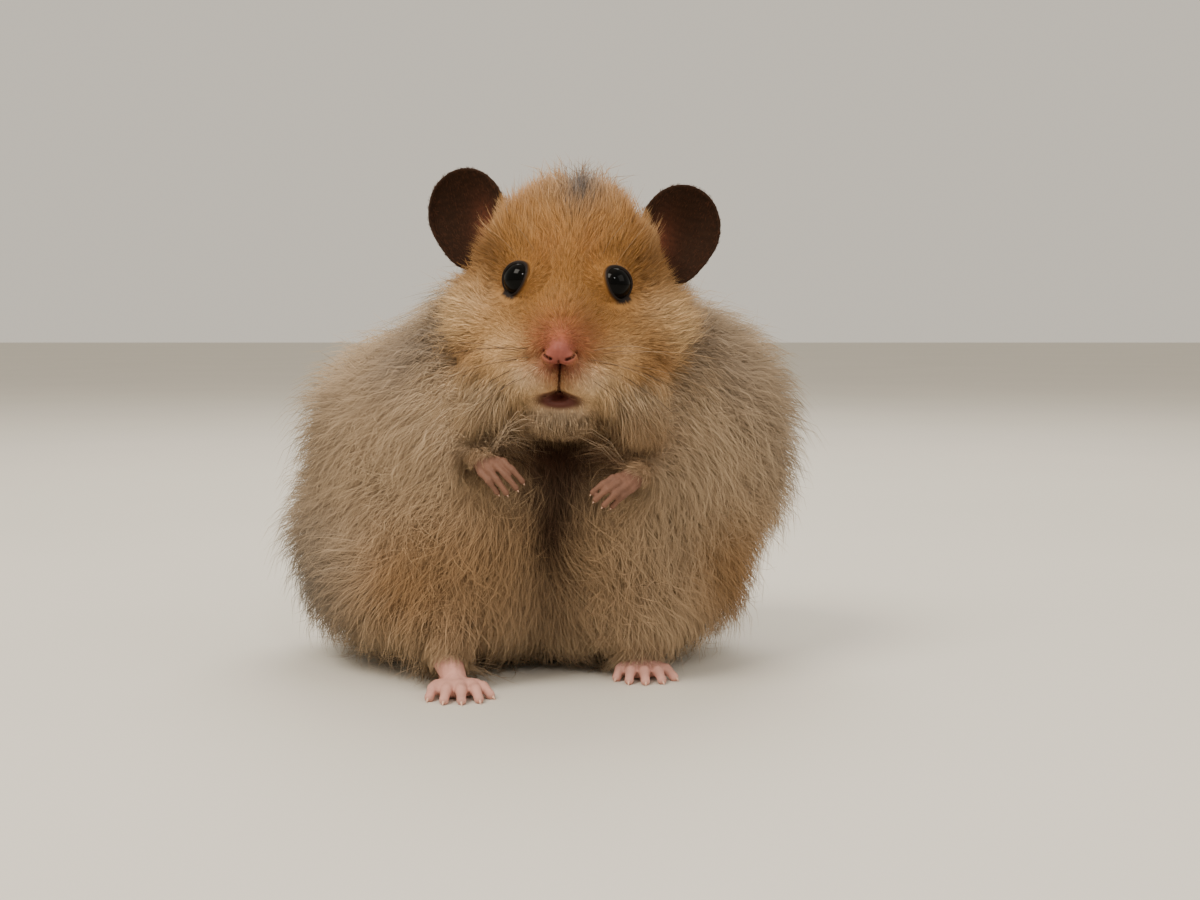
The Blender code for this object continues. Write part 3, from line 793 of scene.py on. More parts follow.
def skin_tint(points):
    """The skin's colours and roughness: the coat's markings, and the bare parts over them."""
    bare = bare_shares(points)
    mottle = 1 + 0.08 * waves(points, 1.6, 3)[:, None]
    inner, ribs = np.zeros(len(points)), np.zeros(len(points))
    for side, root in EAR_ROOTS:
        reach, own = ear_share(points, side, root)
        bowl = bell(own, (-side * 2.6, 2, -3.0), (4.4, 6, 7.5))
        inner = np.maximum(inner, (reach < 2) * bowl)
        rib = np.sin(own[:, 2] * 4.6 + 2.2 * waves(own, 3, 8))
        ribs += (reach < 2) * rib
    ear_colour = mix(EAR_DARK, 1.3 * EAR_RED, inner[:, None])
    ear_colour *= 1 + 0.10 * ribs[:, None]
    shadow = np.zeros(len(points))
    for side in (-1, 1):
        share, _, reach = eye_place(to_head(points), side)
        shadow = np.maximum(shadow, ramp(1.26, 1.08, share) * (reach < EYE_RADIUS + 1))
    # Higher up, the hands take their darker pink, which is partly painted shade under the head.
    paw_colour = mix(PAW_PINK, HAND_PINK_IN_SHADE, ramp(25, 32, points[:, 2])[:, None])
    # The dark layer below is painted shade in the hollows of nose and mouth.
    layers = [(bare["nose"], PINK * mottle, 0.45), (bare["lip"], MAUVE, 0.50),
              (0.85 * shadow, 0.35 * BROWN, 0.60),
              (bare["paw"], paw_colour * mottle, 0.60), (bare["ear"], ear_colour, 0.95),
              (bare["lid"], LID_DARK, 0.55), (bare["dark"], MOUTH_DARK, 0.60)]
    tint, rough = coat_tint(points) * 0.8, np.full((len(points), 1), 0.70)
    for share, colour, roughness in layers:
        tint = mix(tint, colour, share[:, None])
        rough = mix(rough, roughness, share[:, None])
    return np.hstack([tint, rough])


# ---- where hairs grow

def unwrap(skin):
    """A map of the skin's own shape, which the coat's tufts share."""
    skin.data.uv_layers.new(name="OFBake")
    bpy.context.view_layer.objects.active = skin
    skin.select_set(True)
    bpy.ops.object.mode_set(mode="EDIT")
    bpy.ops.mesh.select_all(action="SELECT")
    bpy.ops.uv.smart_project(angle_limit=math.radians(75), island_margin=0.002)
    bpy.ops.object.mode_set(mode="OBJECT")
    skin.select_set(False)


NORMAL_STEPS, RAY_START, RAY_REACH = 12, 0.5, 16


def skin_field(skin, coat):
    """What the coat needs to know at each corner of the skin."""
    mesh = skin.data
    mesh.calc_loop_triangles()
    corners = read(mesh.loop_triangles, "vertices", 3, np.int32)
    loops = read(mesh.loop_triangles, "loops", 3, np.int32)
    flat = read(mesh.uv_layers["OFBake"].data, "uv", 2)
    points, normals = read_points(skin), read_normals(skin)
    edges = read(mesh.edges, "vertices", 2, np.int32)
    for _ in range(NORMAL_STEPS):
        total = normals.copy()
        np.add.at(total, edges[:, 0], normals[edges[:, 1]])
        np.add.at(total, edges[:, 1], normals[edges[:, 0]])
        normals = unit(total)
    tree = BVHTree.FromObject(coat, bpy.context.evaluated_depsgraph_get())
    depth = np.zeros(len(points))
    for index, (place, way) in enumerate(zip(points.tolist(), normals.tolist())):
        hit = tree.ray_cast(Vector(place) - Vector(way) * RAY_START, Vector(way), RAY_REACH)
        depth[index] = 0 if hit[0] is None else hit[3] - RAY_START
    return {"corners": corners, "uv": flat[loops], "points": points, "normals": normals,
            "depth": depth}


def scatter(field, weight, count):
    """Random roots over the skin, as many to a square millimetre as weight says."""
    places = field["points"][field["corners"]]
    sides = places[:, 1] - places[:, 0], places[:, 2] - places[:, 0]
    area = np.linalg.norm(np.cross(*sides), axis=1)
    share = area * weight[field["corners"]].mean(axis=1)
    chosen = RNG.choice(len(area), size=count, p=share / share.sum())
    a, b = RNG.random(count), RNG.random(count)
    flip = a + b > 1
    a, b = np.where(flip, 1 - a, a), np.where(flip, 1 - b, b)
    part = np.stack([1 - a - b, a, b], axis=1)[:, :, None]
    corners = field["corners"][chosen]
    return {"place": (places[chosen] * part).sum(axis=1),
            "up": unit((field["normals"][corners] * part).sum(axis=1)),
            "depth": (field["depth"][corners] * part[:, :, 0]).sum(axis=1),
            "uv": (field["uv"][chosen] * part).sum(axis=1)}


def leaders(places, each):
    """For each root, the index of the root that leads its tuft: about one for every few."""
    chosen = RNG.choice(len(places), size=max(1, len(places) // each), replace=False)
    tree = KDTree(len(chosen))
    for index in chosen:
        tree.insert(places[index].tolist(), int(index))
    tree.balance()
    return np.array([tree.find(place)[1] for place in places.tolist()])


TUFT_PATCH = 0.003                          # the width of a hair's patch on the skin's map
BODY_SOFTNESS, FACE_SOFTNESS = 1.5, 0.6     # how far hairs' shading follows the skin below


def hair_paths(roots, way, height, stand, longest, sections, pull, each, curl):
    """Curved hairs that rise from the skin, bend along the coat's lie and gather in tufts."""
    up = roots["up"]
    way = unit(way - (way * up).sum(axis=1, keepdims=True) * up)
    run = np.minimum(height / np.tan(np.radians(stand)), longest)
    share = np.linspace(0, 1, sections)[None, :, None]
    rise = (1 - (1 - share) ** 2) * height[:, None, None] * up[:, None]
    along = (0.4 * share + 0.6 * share ** 2) * run[:, None, None] * way[:, None]
    across = np.cross(up, way)
    sway = curl[:, None, None] * share ** 1.5 * across[:, None]
    sunk = np.minimum(0.25, 0.3 * height)[:, None] * up
    path = (roots["place"] - sunk)[:, None] + rise + along + sway
    lead = path[leaders(roots["place"], each)]
    path = path + pull[:, None, None] * share ** 1.3 * (lead - path)
    path[:, :, 2] = np.maximum(path[:, :, 2], FLOOR_CLEAR + 0.4 * RNG.random((len(path), 1)))
    return path


def hair_faces(sections, sides, last):
    """One hair's faces, as corners: each corner's number and its place on the hair's patch."""
    def corner(level, turn):
        if level in (0, sections - 1):
            return 0 if level == 0 else last, 0.5, level / (sections - 1)
        return 1 + (level - 1) * sides + turn % sides, turn / sides, level / (sections - 1)

    return [list(dict.fromkeys([corner(level, side), corner(level, side + 1),
                                corner(level + 1, side + 1), corner(level + 1, side)]))
            for side in range(sides) for level in range(sections - 1)]


def hair_mesh(name, path, girth, tint, patch, up, softness, sides=3):
    """One closed tapering solid for each hair, joined in one mesh, with its map and tint."""
    count, sections = path.shape[:2]
    rings = sections - 2
    along = unit(np.gradient(path, axis=1))
    across = unit(np.cross(along, RNG.normal(size=(count, 1, 3))))
    other = np.cross(along, across)
    share = np.arange(1, rings + 1) / (sections - 1)
    taper = (girth[:, None] * (1.12 - 0.62 * share))[:, :, None, None]
    angle = 2 * math.pi * np.arange(sides) / sides
    circle = (np.cos(angle)[None, None, :, None] * across[:, 1:-1, None]
              + np.sin(angle)[None, None, :, None] * other[:, 1:-1, None])
    ring_points = path[:, 1:-1, None] + taper * circle
    verts = np.concatenate([path[:, :1], ring_points.reshape(count, rings * sides, 3),
                            path[:, -1:]], axis=1)
    last = 1 + rings * sides
    faces = hair_faces(sections, sides, last)
    corners, *spots = np.array([spot for face in faces for spot in face]).T
    starts = np.cumsum([0] + [len(face) for face in faces[:-1]])
    step = np.arange(count)[:, None] * (last + 1)
    mesh = bpy.data.meshes.new(name)
    mesh.vertices.add(count * (last + 1))
    mesh.vertices.foreach_set("co", (verts * MM).astype(np.float32).ravel())
    mesh.loops.add(count * len(corners))
    mesh.loops.foreach_set("vertex_index", (corners[None] + step).astype(np.int32).ravel())
    mesh.polygons.add(count * len(faces))
    loop_starts = starts[None] + np.arange(count)[:, None] * len(corners)
    mesh.polygons.foreach_set("loop_start", loop_starts.astype(np.int32).ravel())
    mesh.update(calc_edges=True)
    mesh.shade_smooth()
    facing = np.concatenate([up[:, None], circle.reshape(count, rings * sides, 3),
                             along[:, -1:]], axis=1)
    facing = unit(facing + softness * up[:, None])
    mesh.normals_split_custom_set_from_vertices(facing.reshape(-1, 3))
    levels = np.concatenate([[0], np.repeat(np.arange(1, rings + 1), sides), [sections - 1]])
    shade = np.ones((count, last + 1, 4), np.float32)
    shade[:, :, :3] = tint[:, levels]
    mesh.attributes.new("tint", "FLOAT_COLOR", "POINT").data.foreach_set("color", shade.ravel())
    spread = patch[:, None] + TUFT_PATCH * (np.stack(spots, axis=1) - 0.5)
    mesh.uv_layers.new(name="OFBake").data.foreach_set("uv", spread.astype(np.float32).ravel())
    return add_object(name, mesh)


def shaded(tint, sections, root_share, tip_share, paleness):
    """Colours down each hair: darker at the root, and paler towards the tip."""
    tip_colour = (0.7 * tint + 0.6 * PALE * ramp(0.02, 0.16, tint[:, :1]) + 0.01)[:, None]
    share = np.linspace(0, 1, sections)[None, :, None]
    tone = root_share + (tip_share - root_share) * share ** 0.8
    pale = paleness[:, None, None] * share ** 2
    return np.clip(mix(tint[:, None] * tone, tip_colour, pale), 0, 1)


def shared_out(name, path, girth, tint, roots, pieces, softness):
    """The hairs as several pieces, each spread evenly over the whole coat."""
    made = []
    for index in range(pieces):
        part = slice(index, None, pieces)
        made.append(hair_mesh(f"{name}_{index + 1}", path[part], girth[part], tint[part],
                              roots["uv"][part], roots["up"][part], softness))
    return made


# ---- the coat

FACE_HAIRS, FACE_PIECES, FACE_SECTIONS = 96000, 3, 3
BODY_TUFT, FACE_TUFT = 8, 12        # hairs that gather round each leading one
# The body's two layers: hairs, pieces, sections, least and most height, girth and root shade.
UNDERCOAT = ("undercoat", 56000, 2, 3, (0.50, 0.88), 0.070, 0.86)
TOPCOAT = ("topcoat", 48000, 3, 4, (0.72, 1.12), 0.066, 0.90)
STRAY_SHARE, STRAY_LONGER, STRAY_PULL, STRAY_CURL, STRAY_GIRTH = 0.13, 1.18, 0.05, 2.4, 0.70


def body_lie(points):
    """The way the body's coat lies: down and outwards from its parting, and back at the sides."""
    side = np.tanh((points[:, 0] - PARTING_X) / 12)
    high = ramp(48, 72, points[:, 2]) * ramp(12, 32, np.abs(points[:, 0] - PARTING_X))
    back = ramp(-10, 30, points[:, 1])
    way = np.stack([side * (0.26 + 0.6 * high) * (1 - 0.6 * back), 0.05 + 0.35 * back,
                    -1.0 + 0.35 * high], axis=1)
    way = unit(way)
    for _, joint, on in LIMB_ENDS:
        way = mix(way, np.array(on), ramp(15, 7, far(points, joint))[:, None])
    return unit(way)


def face_lie(local):
    """The way the face's coat lies: out from the nose in all directions, then back."""
    way = unit(local - np.array((0, -14.0, -11.0)))
    by_ear = ramp(2, 10, local[:, 2]) * ramp(6, 12, np.abs(local[:, 0]))
    way[:, 0] *= 1 - 1.1 * by_ear
    way[:, 1] += 0.35
    return turned(unit(way), HEAD)


def tangle(points, size, amount, seed):
    return amount * np.stack([waves(points, size, seed + k) for k in range(3)], axis=1)


def near_paw(points):
    return np.maximum.reduce([ramp(9, 4, far(points, joint)) for _, joint, _ in LIMB_ENDS])


def seen_tint(path, spread, paler):
    """Each hair takes the marking where its outer part shows, with a tone of its own."""
    seen = path[:, -2] * 0.5 + path[:, -1] * 0.5 + 0.9 * RNG.normal(size=(len(path), 3))
    tint = coat_tint(seen) * RNG.uniform(1 - spread, 1 + spread, (len(path), 1))
    tint *= 1 + 0.08 * waves(seen, 1.6, 50)[:, None]
    return tint, paler * ramp(0.0, 0.10, tint[:, 0])


def body_coat(field, weight, layer):
    """One layer of the body's coat, with a few long stray hairs."""
    name, hairs, pieces, sections, (least, most), girth, root_share = layer
    roots = scatter(field, weight, hairs)
    place = roots["place"]
    way = body_lie(place) + tangle(place, 12, 0.34, 20) + tangle(place, 4, 0.26, 30)
    paw = near_paw(place)
    way += (0.50 - 0.36 * paw[:, None]) * RNG.normal(size=(hairs, 3))
    outside = ramp(20, 44, np.abs(place[:, 0] - PARTING_X))
    shoulder = outside * ramp(40, 62, place[:, 2]) * ramp(88, 78, place[:, 2])
    stand = 42 + 16 * outside - 14 * paw + (10 - 6 * paw) * RNG.normal(size=hairs)
    depth = np.clip(roots["depth"], 1.2, 11) * (1 + 0.22 * shoulder)
    height = depth * (0.97 + 0.05 * waves(place, 6, 40)) * RNG.uniform(least, most, hairs)
    stray = RNG.random(hairs) < STRAY_SHARE * (1 - paw) * (most > 1)
    height = np.where(stray, height * STRAY_LONGER + 0.8, height)
    pull = np.where(stray, STRAY_PULL, RNG.uniform(0.0, 0.27, hairs))
    curl = np.where(stray, STRAY_CURL, 1.4) * (0.25 + 0.08 * depth) * RNG.normal(size=hairs)
    longest = np.where(place[:, 1] > 25, 9.0, 13.0) - 4.5 * paw
    path = hair_paths(roots, way, height, np.clip(stand, 20, 74), longest, sections, pull,
                      BODY_TUFT, curl)
    girth = girth * np.where(stray, STRAY_GIRTH, 0.94) * (1 - 0.2 * paw)
    girth *= RNG.uniform(0.75, 1.25, hairs)
    tint, pale = seen_tint(path, 0.15, np.where(stray, 0.5, RNG.uniform(0.0, 0.36, hairs)))
    tint = shaded(tint, sections, root_share, 1.06, pale)
    return shared_out(name, path, girth, tint, roots, pieces, BODY_SOFTNESS)


def ear_lie(place):
    """On an ear the hairs run from its root to its rim."""
    local = to_head(place)
    way = np.zeros_like(place)
    for side, root in EAR_ROOTS:
        own = ear_share(place, side, root)[1]
        own = unit(own * (1, 0, 1) + np.array((0, 0, 13.0)))
        way += (local[:, :1] * side > 0) * turned(own, ear_matrix(side, root))
    return way


def fringe_shares(local, up):
    """How far hair lies under the jaw, and in the whole fringe that hangs from cheeks and jaw."""
    out = np.abs(local[:, 0])
    under = ramp(0.1, -0.5, up[:, 2]) * ramp(-14, -20, local[:, 2])
    under *= np.maximum(ramp(5, 11, out), ramp(-23.5, -25.5, local[:, 2]))
    return under, np.maximum(ramp(13, 19, out) * ramp(-10, -17, local[:, 2]), under)


def round_the_eyes(local, way, most):
    """Turns hair away from the eyes, keeps it short by them, and says where the lids' rims are."""
    rim = np.zeros(len(local))
    for side in (-1, 1):
        share, _, reach = eye_place(local, side)
        clear = 1.4 * np.maximum(0, share - 1.2) + 0.9 * np.maximum(0, reach - EYE_RADIUS - 2)
        most = np.minimum(most, 0.25 + clear)
        away = turned(unit(local - EYE_SPOTS[side]), HEAD)
        way += 2.6 * ramp(EYE_RADIUS + 4.5, EYE_RADIUS + 1.5, reach)[:, None] * away
        rim = np.maximum(rim, ramp(1.18, 1.06, share) * (reach < EYE_RADIUS + 1))
    return most, rim


def by_the_ears(local, most):
    """Keeps hair short before the ears, and says how far each place is clear of them."""
    clear_of_ear = np.ones(len(local))
    for _, root in EAR_ROOTS:
        gap = far(local, np.array(root) + np.array((0, 0, EAR_HIGH))) - 8
        before = ramp(18.5, 15.5, local[:, 1])
        clear_of_ear = np.minimum(clear_of_ear, np.maximum(ramp(0, 6, gap), 1 - before))
        near = 1.2 + 0.6 * np.maximum(gap, 0) + 4 * ramp(8, 14, local[:, 2]) * ramp(0.5, 4, gap)
        most = np.minimum(most, near + 4.5 * (1 - before))
    return most, clear_of_ear


def round_the_mouth(local, way, most):
    """Parts the hair under the nose, and gives the least and most length by nose and mouth."""
    lips, split = line_gap(local[:, ::2], MOUTH)[0], line_gap(local[:, ::2], PHILTRUM)[0]
    pad = far(local, (0, -12, -13.6))
    way[:, 0] += 1.6 * np.sign(local[:, 0]) * ramp(1.6, 0.4, split)
    most = np.minimum.reduce([most, 0.10 + 0.4 * np.minimum(split, lips),
                              0.22 + 0.22 * np.maximum(0, pad - 3)])
    least = np.minimum.reduce([pad - 3, split, lips])
    return np.minimum(0.6, 0.10 + 0.12 * np.maximum(least, 0)), most


def uncover(path):
    """Shortens every hair that would cross an eye or the mouth."""
    reached = to_head(path.reshape(-1, 3))
    over = np.hypot(reached[:, 0] / 4.2, (reached[:, 2] + 22.0) / 1.4) < 1 - (reached[:, 1] > -4)
    for side in (-1, 1):
        share, _, reach = eye_place(reached, side)
        over |= (share < 1.2) & (reach < EYE_RADIUS + 1.7)
    over = over.reshape(len(path), -1).any(axis=1)
    path[over] = path[over, :1] + 0.15 * (path[over] - path[over, :1])


def face_coat(field, weight):
    """Short hair on the face, longer on crown and cheeks, and down on the ears."""
    roots = scatter(field, weight, FACE_HAIRS)
    place = roots["place"]
    count = len(place)
    local = to_head(place)
    ear = bare_shares(place)["ear"] > 0.5
    outer = ramp(0.72, 1.0, head_share(local))[:, None]
    way = mix(face_lie(local), body_lie(place), outer)
    way += tangle(place, 6, 0.16, 60) + tangle(place, 2, 0.14, 70)
    crown = ramp(11, 18, local[:, 2])
    way += (0.15 + 0.25 * crown[:, None]) * RNG.normal(size=(count, 3))
    way = np.where(ear[:, None], ear_lie(place) + 0.12 * RNG.normal(size=(count, 3)), way)
    out = np.abs(local[:, 0])
    cheek = ramp(11, 19, out) * ramp(8, 0, local[:, 2])
    under, fringe = fringe_shares(local, roots["up"])
    hang = np.stack([0.6 * np.sign(local[:, 0]) * ramp(2, 12, out), np.full(count, -0.25),
                     np.full(count, -0.7)], axis=1)
    hang += 0.34 * RNG.normal(size=(count, 3))
    way = np.where(ear[:, None], way, way + hang * fringe[:, None])
    muzzle = 1 - ramp(0.8, 1.5, oval(local, (0, -9, -16), (9, 8, 10)))
    stand = 24 + 32 * crown + 16 * cheek - 4 * muzzle + 8 * fringe + 6 * RNG.normal(size=count)
    stand += 22 * under * ramp(12, 4, out)
    most, rim = round_the_eyes(local, way, 9.0 - 8.2 * muzzle)
    most, clear_of_ear = by_the_ears(local, most)
    least, most = round_the_mouth(local, way, most)
    depth = np.clip(roots["depth"], least, np.maximum(most, least))
    depth = np.where(ear, depth, np.maximum(depth, fringe * (3.4 + 4.6 * ramp(4, 13, out))))
    height = depth * RNG.uniform(0.68, 1.10, count)
    height *= 1 + crown * (0.35 + 0.5 * ramp(4, 9, out)) * clear_of_ear
    middle = crown * ramp(10, 3, out)
    wisp = (RNG.random(count) < 0.07 + 0.08 * middle) * (crown + cheek) * clear_of_ear
    height *= 1 + (0.7 + 0.6 * middle) * wisp
    height = np.where(ear, 0.2, height)
    stand = np.where(ear, 13, np.clip(stand, 16, 78))
    pull = RNG.uniform(0.1, 0.65, count)
    curl = (0.08 + 0.07 * depth) * RNG.normal(size=count)
    path = hair_paths(roots, way, height, stand, 11.0, FACE_SECTIONS, pull, FACE_TUFT, curl)
    uncover(path)
    girth = np.where(ear, 0.034, 0.046 + 0.005 * depth) * RNG.uniform(0.7, 1.3, count)
    tint, pale = seen_tint(path, 0.32, RNG.uniform(0.0, 0.42, count))
    tint *= 1 - 0.75 * rim[:, None]
    ear_tint = EAR_HAIR * RNG.uniform(0.3, 1.3, (count, 1))
    tint = np.where(ear[:, None], ear_tint, tint)
    tint = shaded(tint, FACE_SECTIONS, 0.8, 1.05, np.where(ear, 0, pale))
    return shared_out("face_coat", path, girth, tint, roots, FACE_PIECES, FACE_SOFTNESS)


# ---- eyes, claws and whiskers

def paint(thing, tint):
    """Gives each corner of a piece its own tint."""
    colours = np.ones((len(tint), 4), np.float32)
    colours[:, :tint.shape[1]] = tint
    layer = thing.data.attributes.new("tint", "FLOAT_COLOR", "POINT")
    layer.data.foreach_set("color", colours.ravel())
    return thing


def make_eye(side):
    """A dark eyeball with a slightly raised cornea, a black pupil and a deep brown iris."""
    bm = bmesh.new()
    bmesh.ops.create_icosphere(bm, subdivisions=5, radius=EYE_RADIUS)
    out = math.radians(GAZE_OUT)
    gaze = HEAD.to_3x3() @ Vector((side * math.sin(out), -math.cos(out), 0.07)).normalized()
    shares = []
    for vert in bm.verts:
        facing = vert.co.normalized().dot(gaze)
        shares.append(facing)
        vert.co *= 1 + 0.03 * max(0.0, facing - 0.4) ** 2
    bmesh.ops.translate(bm, verts=bm.verts, vec=EYES[side])
    name = "eyeball_left" if side > 0 else "eyeball_right"
    eye = object_of(name, bm)
    eye.data.shade_smooth()
    iris = ramp(0.80, 0.72, np.array(shares))[:, None]
    return paint(eye, mix(PUPIL, IRIS, iris))


def add_claw(bm, tip, way, length, width):
    """A curved claw that grows on from a digit's tip."""
    way = way.normalized()
    side = way.orthogonal().normalized()
    other = way.cross(side)
    verts = bmesh.ops.create_uvsphere(bm, u_segments=10, v_segments=10, radius=1.0)["verts"]
    for vert in verts:
        share = (vert.co.z + 1) / 2
        girth = width * (1 - share) ** 0.45 * 1.15
        place = tip + way * length * (share - 0.25) + girth * (vert.co.x * side
                                                               + vert.co.y * other)
        place.z -= 0.30 * length * max(0.0, share - 0.25) ** 2
        vert.co = place


FINGER_CLAW, TOE_CLAW = (0.0, 1.1, 0.28), (0.35, 2.3, 0.40)     # rise over the tip, length, width


def make_claws():
    bm = bmesh.new()
    digits = [(digit, FINGER_JOINTS, FINGER_CLAW) for hand in HANDS for digit in hand[-1]]
    digits += [(digit, TOE_JOINTS, TOE_CLAW) for foot in FEET for digit in foot[-1]]
    for (root, tip), joints, (rise, length, width) in digits:
        root, tip = Vector(root), Vector(tip)
        way = tip - joint_of(root, tip, joints[0])
        add_claw(bm, tip + SHIFT + Vector((0, 0, rise)), way, length, width)
    claws = object_of("claws", bm)
    points = lift(claws, CLAW_CLEAR)
    claws.data.shade_smooth()
    shade = 1 + 0.12 * waves(points, 0.8, 90)[:, None]
    return paint(claws, CLAW * shade)


WHISKER_ROWS, WHISKER_COLUMNS, WHISKER_SECTIONS = 4, 3, 10


def make_whiskers(skin):
    """Rows of fine whiskers on both pads, and a few over the eyes."""
    tree = BVHTree.FromObject(skin, bpy.context.evaluated_depsgraph_get())
    hairs = []          # a root, a way, a bend and a length each, in the head's own frame
    for side in (-1, 1):
        for row, column in np.ndindex(WHISKER_ROWS, WHISKER_COLUMNS):
            root = (side * (5.2 + 1.1 * column), -9 + 2.0 * column,
                    -13.2 - 1.5 * row - 0.3 * column)
            way = (side, -0.30 + 0.16 * column, 0.28 - 0.26 * row)
            hairs.append((root, way, (side * -0.05, 0.30, -0.24),
                          RNG.uniform(13, 19) + 2.4 * column))
        for step in range(2):
            root = (side * (7.0 + 2.0 * step), 0, 5.5 - 0.5 * step)
            way = (side * (0.4 + 0.2 * step), -0.5, 0.8)
            hairs.append((root, way, (side * 0.1, 0.4, -0.05), RNG.uniform(8, 11)))
        hairs.append(((side * 7.4, -2.0, -4.6), (side * -0.36, -0.55, -0.8), (0, 0.1, -0.1), 7.5))
    count = len(hairs)
    roots, ways, bends, lengths = (np.array(part, float) for part in zip(*hairs))
    places = moved(roots, HEAD)
    snapped = [tree.find_nearest(place) for place in places.tolist()]
    base = np.array([hit[0] for hit in snapped], float)
    up = np.array([hit[1] for hit in snapped], float)
    uv = np.full((count, 2), 0.5)
    way = turned(unit(ways + 0.10 * RNG.normal(size=(count, 3))), HEAD)
    bend = turned(bends + 0.06 * RNG.normal(size=(count, 3)), HEAD)
    share = np.linspace(0, 1, WHISKER_SECTIONS)[None, :, None]
    run = share * way[:, None] + share ** 2 * bend[:, None]
    path = (base - 0.3 * up)[:, None] + lengths[:, None, None] * run
    dark = np.where(RNG.random(count) < 0.35, 1.0, 0.0)[:, None]
    root_tint, tip_tint = mix(WHISKER_ROOT, DARK_ROOT, dark), mix(WHISKER_TIP, DARK_TIP, dark)
    tint = mix(root_tint[:, None], tip_tint[:, None], share)
    girth = np.where(lengths > 12, 0.062, 0.038)
    return hair_mesh("whiskers", path, girth, tint, uv, up, 0.0)


# ---- materials

# Each finish: roughness, specular level, and its grain's scale and height.
HAIR, WHISKER, WET_EYE = (0.62, 0.12, 2500, 0.1), (0.4, 0.4, 3000, 0.1), (0.05, 0.08, 900, 0.02)
HORN, BARE_SKIN = (0.35, 0.5, 2000, 0.3), (0.6, 0.15, 1100, 0.35)


def plain_material(name):
    made = bpy.data.materials.new(name)
    made.use_nodes = True
    return made, made.node_tree.nodes


def add_node(nodes, kind, **sockets):
    """Adds a node and sets its sockets, which are named with _ for a space."""
    made = nodes.new("ShaderNode" + kind)
    for socket, value in sockets.items():
        made.inputs[socket.replace("_", " ")].default_value = value
    return made


def wire(start, output, end, socket):
    start.id_data.links.new(start.outputs[output], end.inputs[socket])


def tinted_material(name, roughness, specular, grain, raised):
    """A finish coloured by the surface's own tint, with a fine grain in its polish and height."""
    made, nodes = plain_material(name)
    shader = nodes["Principled BSDF"]
    shader.inputs["Specular IOR Level"].default_value = specular
    tint = add_node(nodes, "Attribute")
    tint.attribute_name = "tint"
    wire(tint, "Color", shader, "Base Color")
    noise = add_node(nodes, "TexNoise", Scale=grain, Detail=1)
    wire(add_node(nodes, "TexCoord"), "Object", noise, "Vector")
    polish = add_node(nodes, "MapRange", To_Min=roughness * 0.75, To_Max=roughness * 1.25)
    wire(noise, "Fac", polish, "Value")
    wire(polish, "Result", shader, "Roughness")
    bump = add_node(nodes, "Bump", Strength=raised, Distance=0.0001)
    wire(noise, "Fac", bump, "Height")
    wire(bump, "Normal", shader, "Normal")
    return made


def skin_material():
    """Bare skin: fine creases and pores over the tint, which carries its roughness too."""
    made = tinted_material("skin", *BARE_SKIN)
    nodes = made.node_tree.nodes
    creases, bump = nodes["Noise Texture"], nodes["Bump"]
    wire(nodes["Attribute"], "Alpha", nodes["Principled BSDF"], "Roughness")
    creases.inputs["Detail"].default_value = 4
    bump.inputs["Distance"].default_value = 0.00025
    pores = add_node(nodes, "TexVoronoi", Scale=2600)
    wire(nodes["Texture Coordinate"], "Object", pores, "Vector")
    both = add_node(nodes, "Math")
    both.operation = "MULTIPLY_ADD"
    both.inputs[1].default_value = 0.5
    wire(pores, "Distance", both, 0)
    wire(creases, "Fac", both, 2)
    wire(both, "Value", bump, "Height")
    return made


def floor_material():
    made, nodes = plain_material("floor")
    shader = nodes["Principled BSDF"]
    shader.inputs["Roughness"].default_value = 0.7
    mottle = add_node(nodes, "TexNoise", Scale=6)
    shade = add_node(nodes, "ValToRGB")
    shade.color_ramp.elements[0].color = (0.60, 0.565, 0.50, 1)
    shade.color_ramp.elements[1].color = (0.66, 0.62, 0.55, 1)
    wire(add_node(nodes, "TexCoord"), "Object", mottle, "Vector")
    wire(mottle, "Fac", shade, "Fac")
    wire(shade, "Color", shader, "Base Color")
    return made


# ---- the studio

CAMERA_PLACE, CAMERA_DOWN, CAMERA_LENS = (0.0134, -0.3543, 0.072), 4.46, 50
# Each lamp: its place, size, power and colour.
LAMPS = [
    ((-0.42, -0.50, 0.85), 0.45, 10.0, (1.0, 0.93, 0.82)),
    ((0.75, -0.45, 0.60), 0.60, 2.5, (1.0, 0.95, 0.88)),
    ((0.05, 0.55, 0.80), 0.60, 6.0, (1.0, 0.96, 0.90)),
    ((0.10, -0.50, 0.42), 0.045, 0.7, (1.0, 0.97, 0.93)),
]
WALL_LIGHT, WALL_STRENGTH = (0.84, 0.77, 0.655, 1), 0.90


def set_studio():
    bm = bmesh.new()
    bmesh.ops.create_grid(bm, x_segments=1, y_segments=1, size=5.0)
    floor = object_of("floor", bm)
    floor.data.materials.append(floor_material())
    for place, size, power, colour in LAMPS:
        lamp = add_object("lamp", bpy.data.lights.new("lamp", "AREA"))
        lamp.data.size = size
        lamp.data.energy = power
        lamp.data.color = colour
        lamp.location = place
        towards = Vector((0, 0, 0.05)) - Vector(place)
        lamp.rotation_euler = towards.to_track_quat("-Z", "Y").to_euler()
    world = bpy.data.worlds.new("studio")
    world.use_nodes = True
    light = world.node_tree.nodes["Background"]
    light.inputs["Color"].default_value = WALL_LIGHT
    light.inputs["Strength"].default_value = WALL_STRENGTH
    bpy.context.scene.world = world


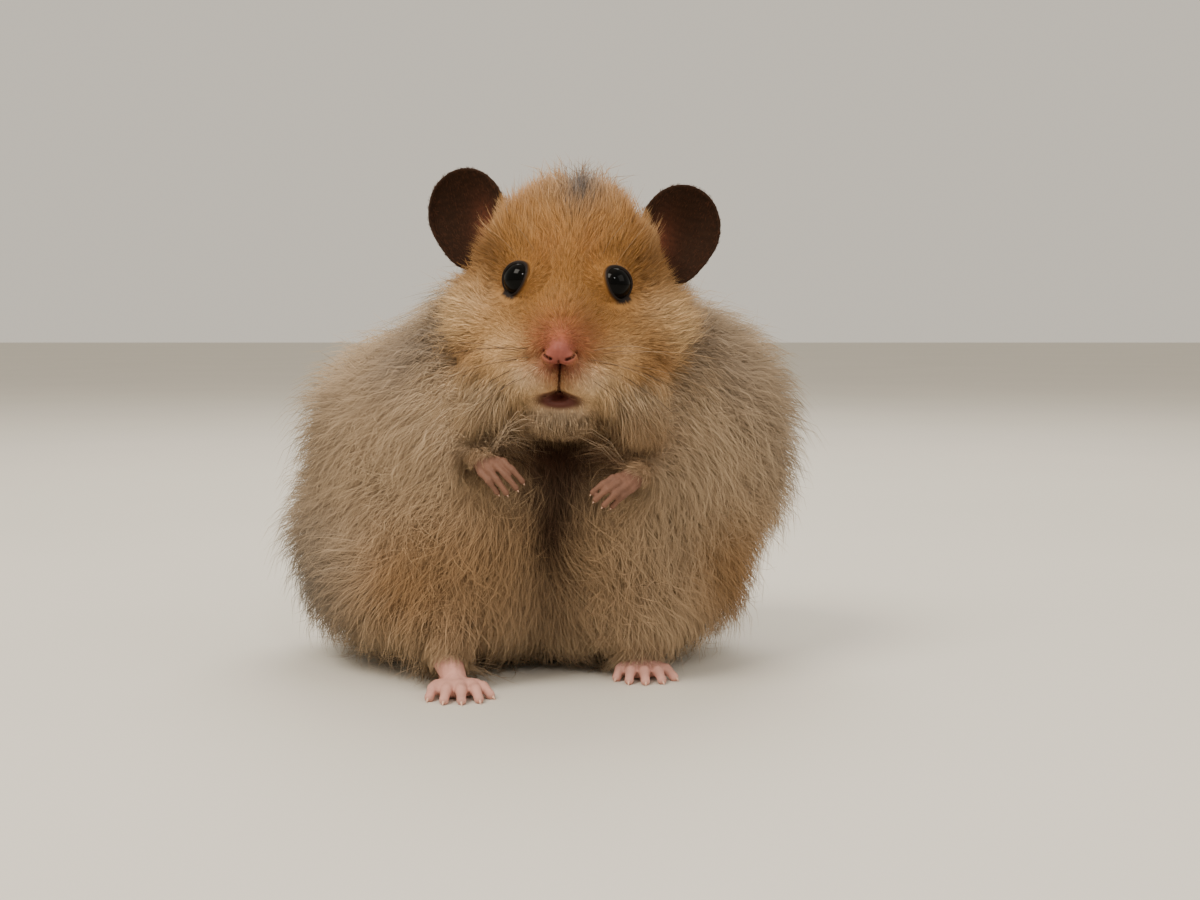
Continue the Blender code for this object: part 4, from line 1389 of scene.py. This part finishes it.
def place_camera():
    camera = add_object("camera", bpy.data.cameras.new("camera"))
    camera.location = CAMERA_PLACE
    camera.rotation_euler = (math.radians(90 - CAMERA_DOWN), 0, 0)
    camera.data.lens = CAMERA_LENS
    camera.data.sensor_width = 36
    camera.data.clip_start = 0.01
    bpy.context.scene.camera = camera


# ---- putting it together

def finish_piece(piece, material):
    piece.data.materials.clear()
    piece.data.materials.append(material)
    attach(piece, "root")
    return piece


def coat_weights(points):
    """How thickly the coat grows at each place: the body's, and that of face and ears."""
    local = to_head(points)
    face = in_head(local)
    bare = bare_shares(points)
    hairy = 1 - np.maximum.reduce([bare[part] for part in ("nose", "lid", "mouth", "paw", "ear")])
    for side in (-1, 1):
        share, _, reach = eye_place(local, side)
        hairy *= np.where(reach < EYE_RADIUS + 1.2, ramp(1.12, 1.20, share), 1)
    muzzle = bell(local, (0, -6, -10), (12, 12, 14))
    return ((1 - face) * hairy * (1 + 2 * near_paw(points)),
            face * hairy * (1 + 1.4 * muzzle) + 0.45 * bare["ear"])


def main():
    coat = coat_surface()
    skin = whole_skin(coat)
    unwrap(skin)
    field = skin_field(skin, coat)
    bpy.data.objects.remove(coat)
    points = field["points"]
    paint(skin, skin_tint(points))
    whiskers = make_whiskers(skin)
    skin.data.transform(Matrix.Scale(MM, 4))

    body_weight, face_weight = coat_weights(points)
    hair = tinted_material("hair", *HAIR)
    for layer in (UNDERCOAT, TOPCOAT):
        for piece in body_coat(field, body_weight, layer):
            finish_piece(piece, hair)
    for piece in face_coat(field, face_weight):
        finish_piece(piece, hair)
    finish_piece(whiskers, tinted_material("whisker", *WHISKER))

    finish_piece(skin, skin_material())
    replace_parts(skin, *FURRED, *BARE)
    wet = tinted_material("wet_eye", *WET_EYE)
    for side, node in ((-1, "eye_right"), (1, "eye_left")):
        eye = make_eye(side)
        eye.data.transform(Matrix.Scale(MM, 4))
        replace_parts(finish_piece(eye, wet), node)
    claws = make_claws()
    claws.data.transform(Matrix.Scale(MM, 4))
    finish_piece(claws, tinted_material("horn", *HORN))

    set_studio()
    place_camera()


main()
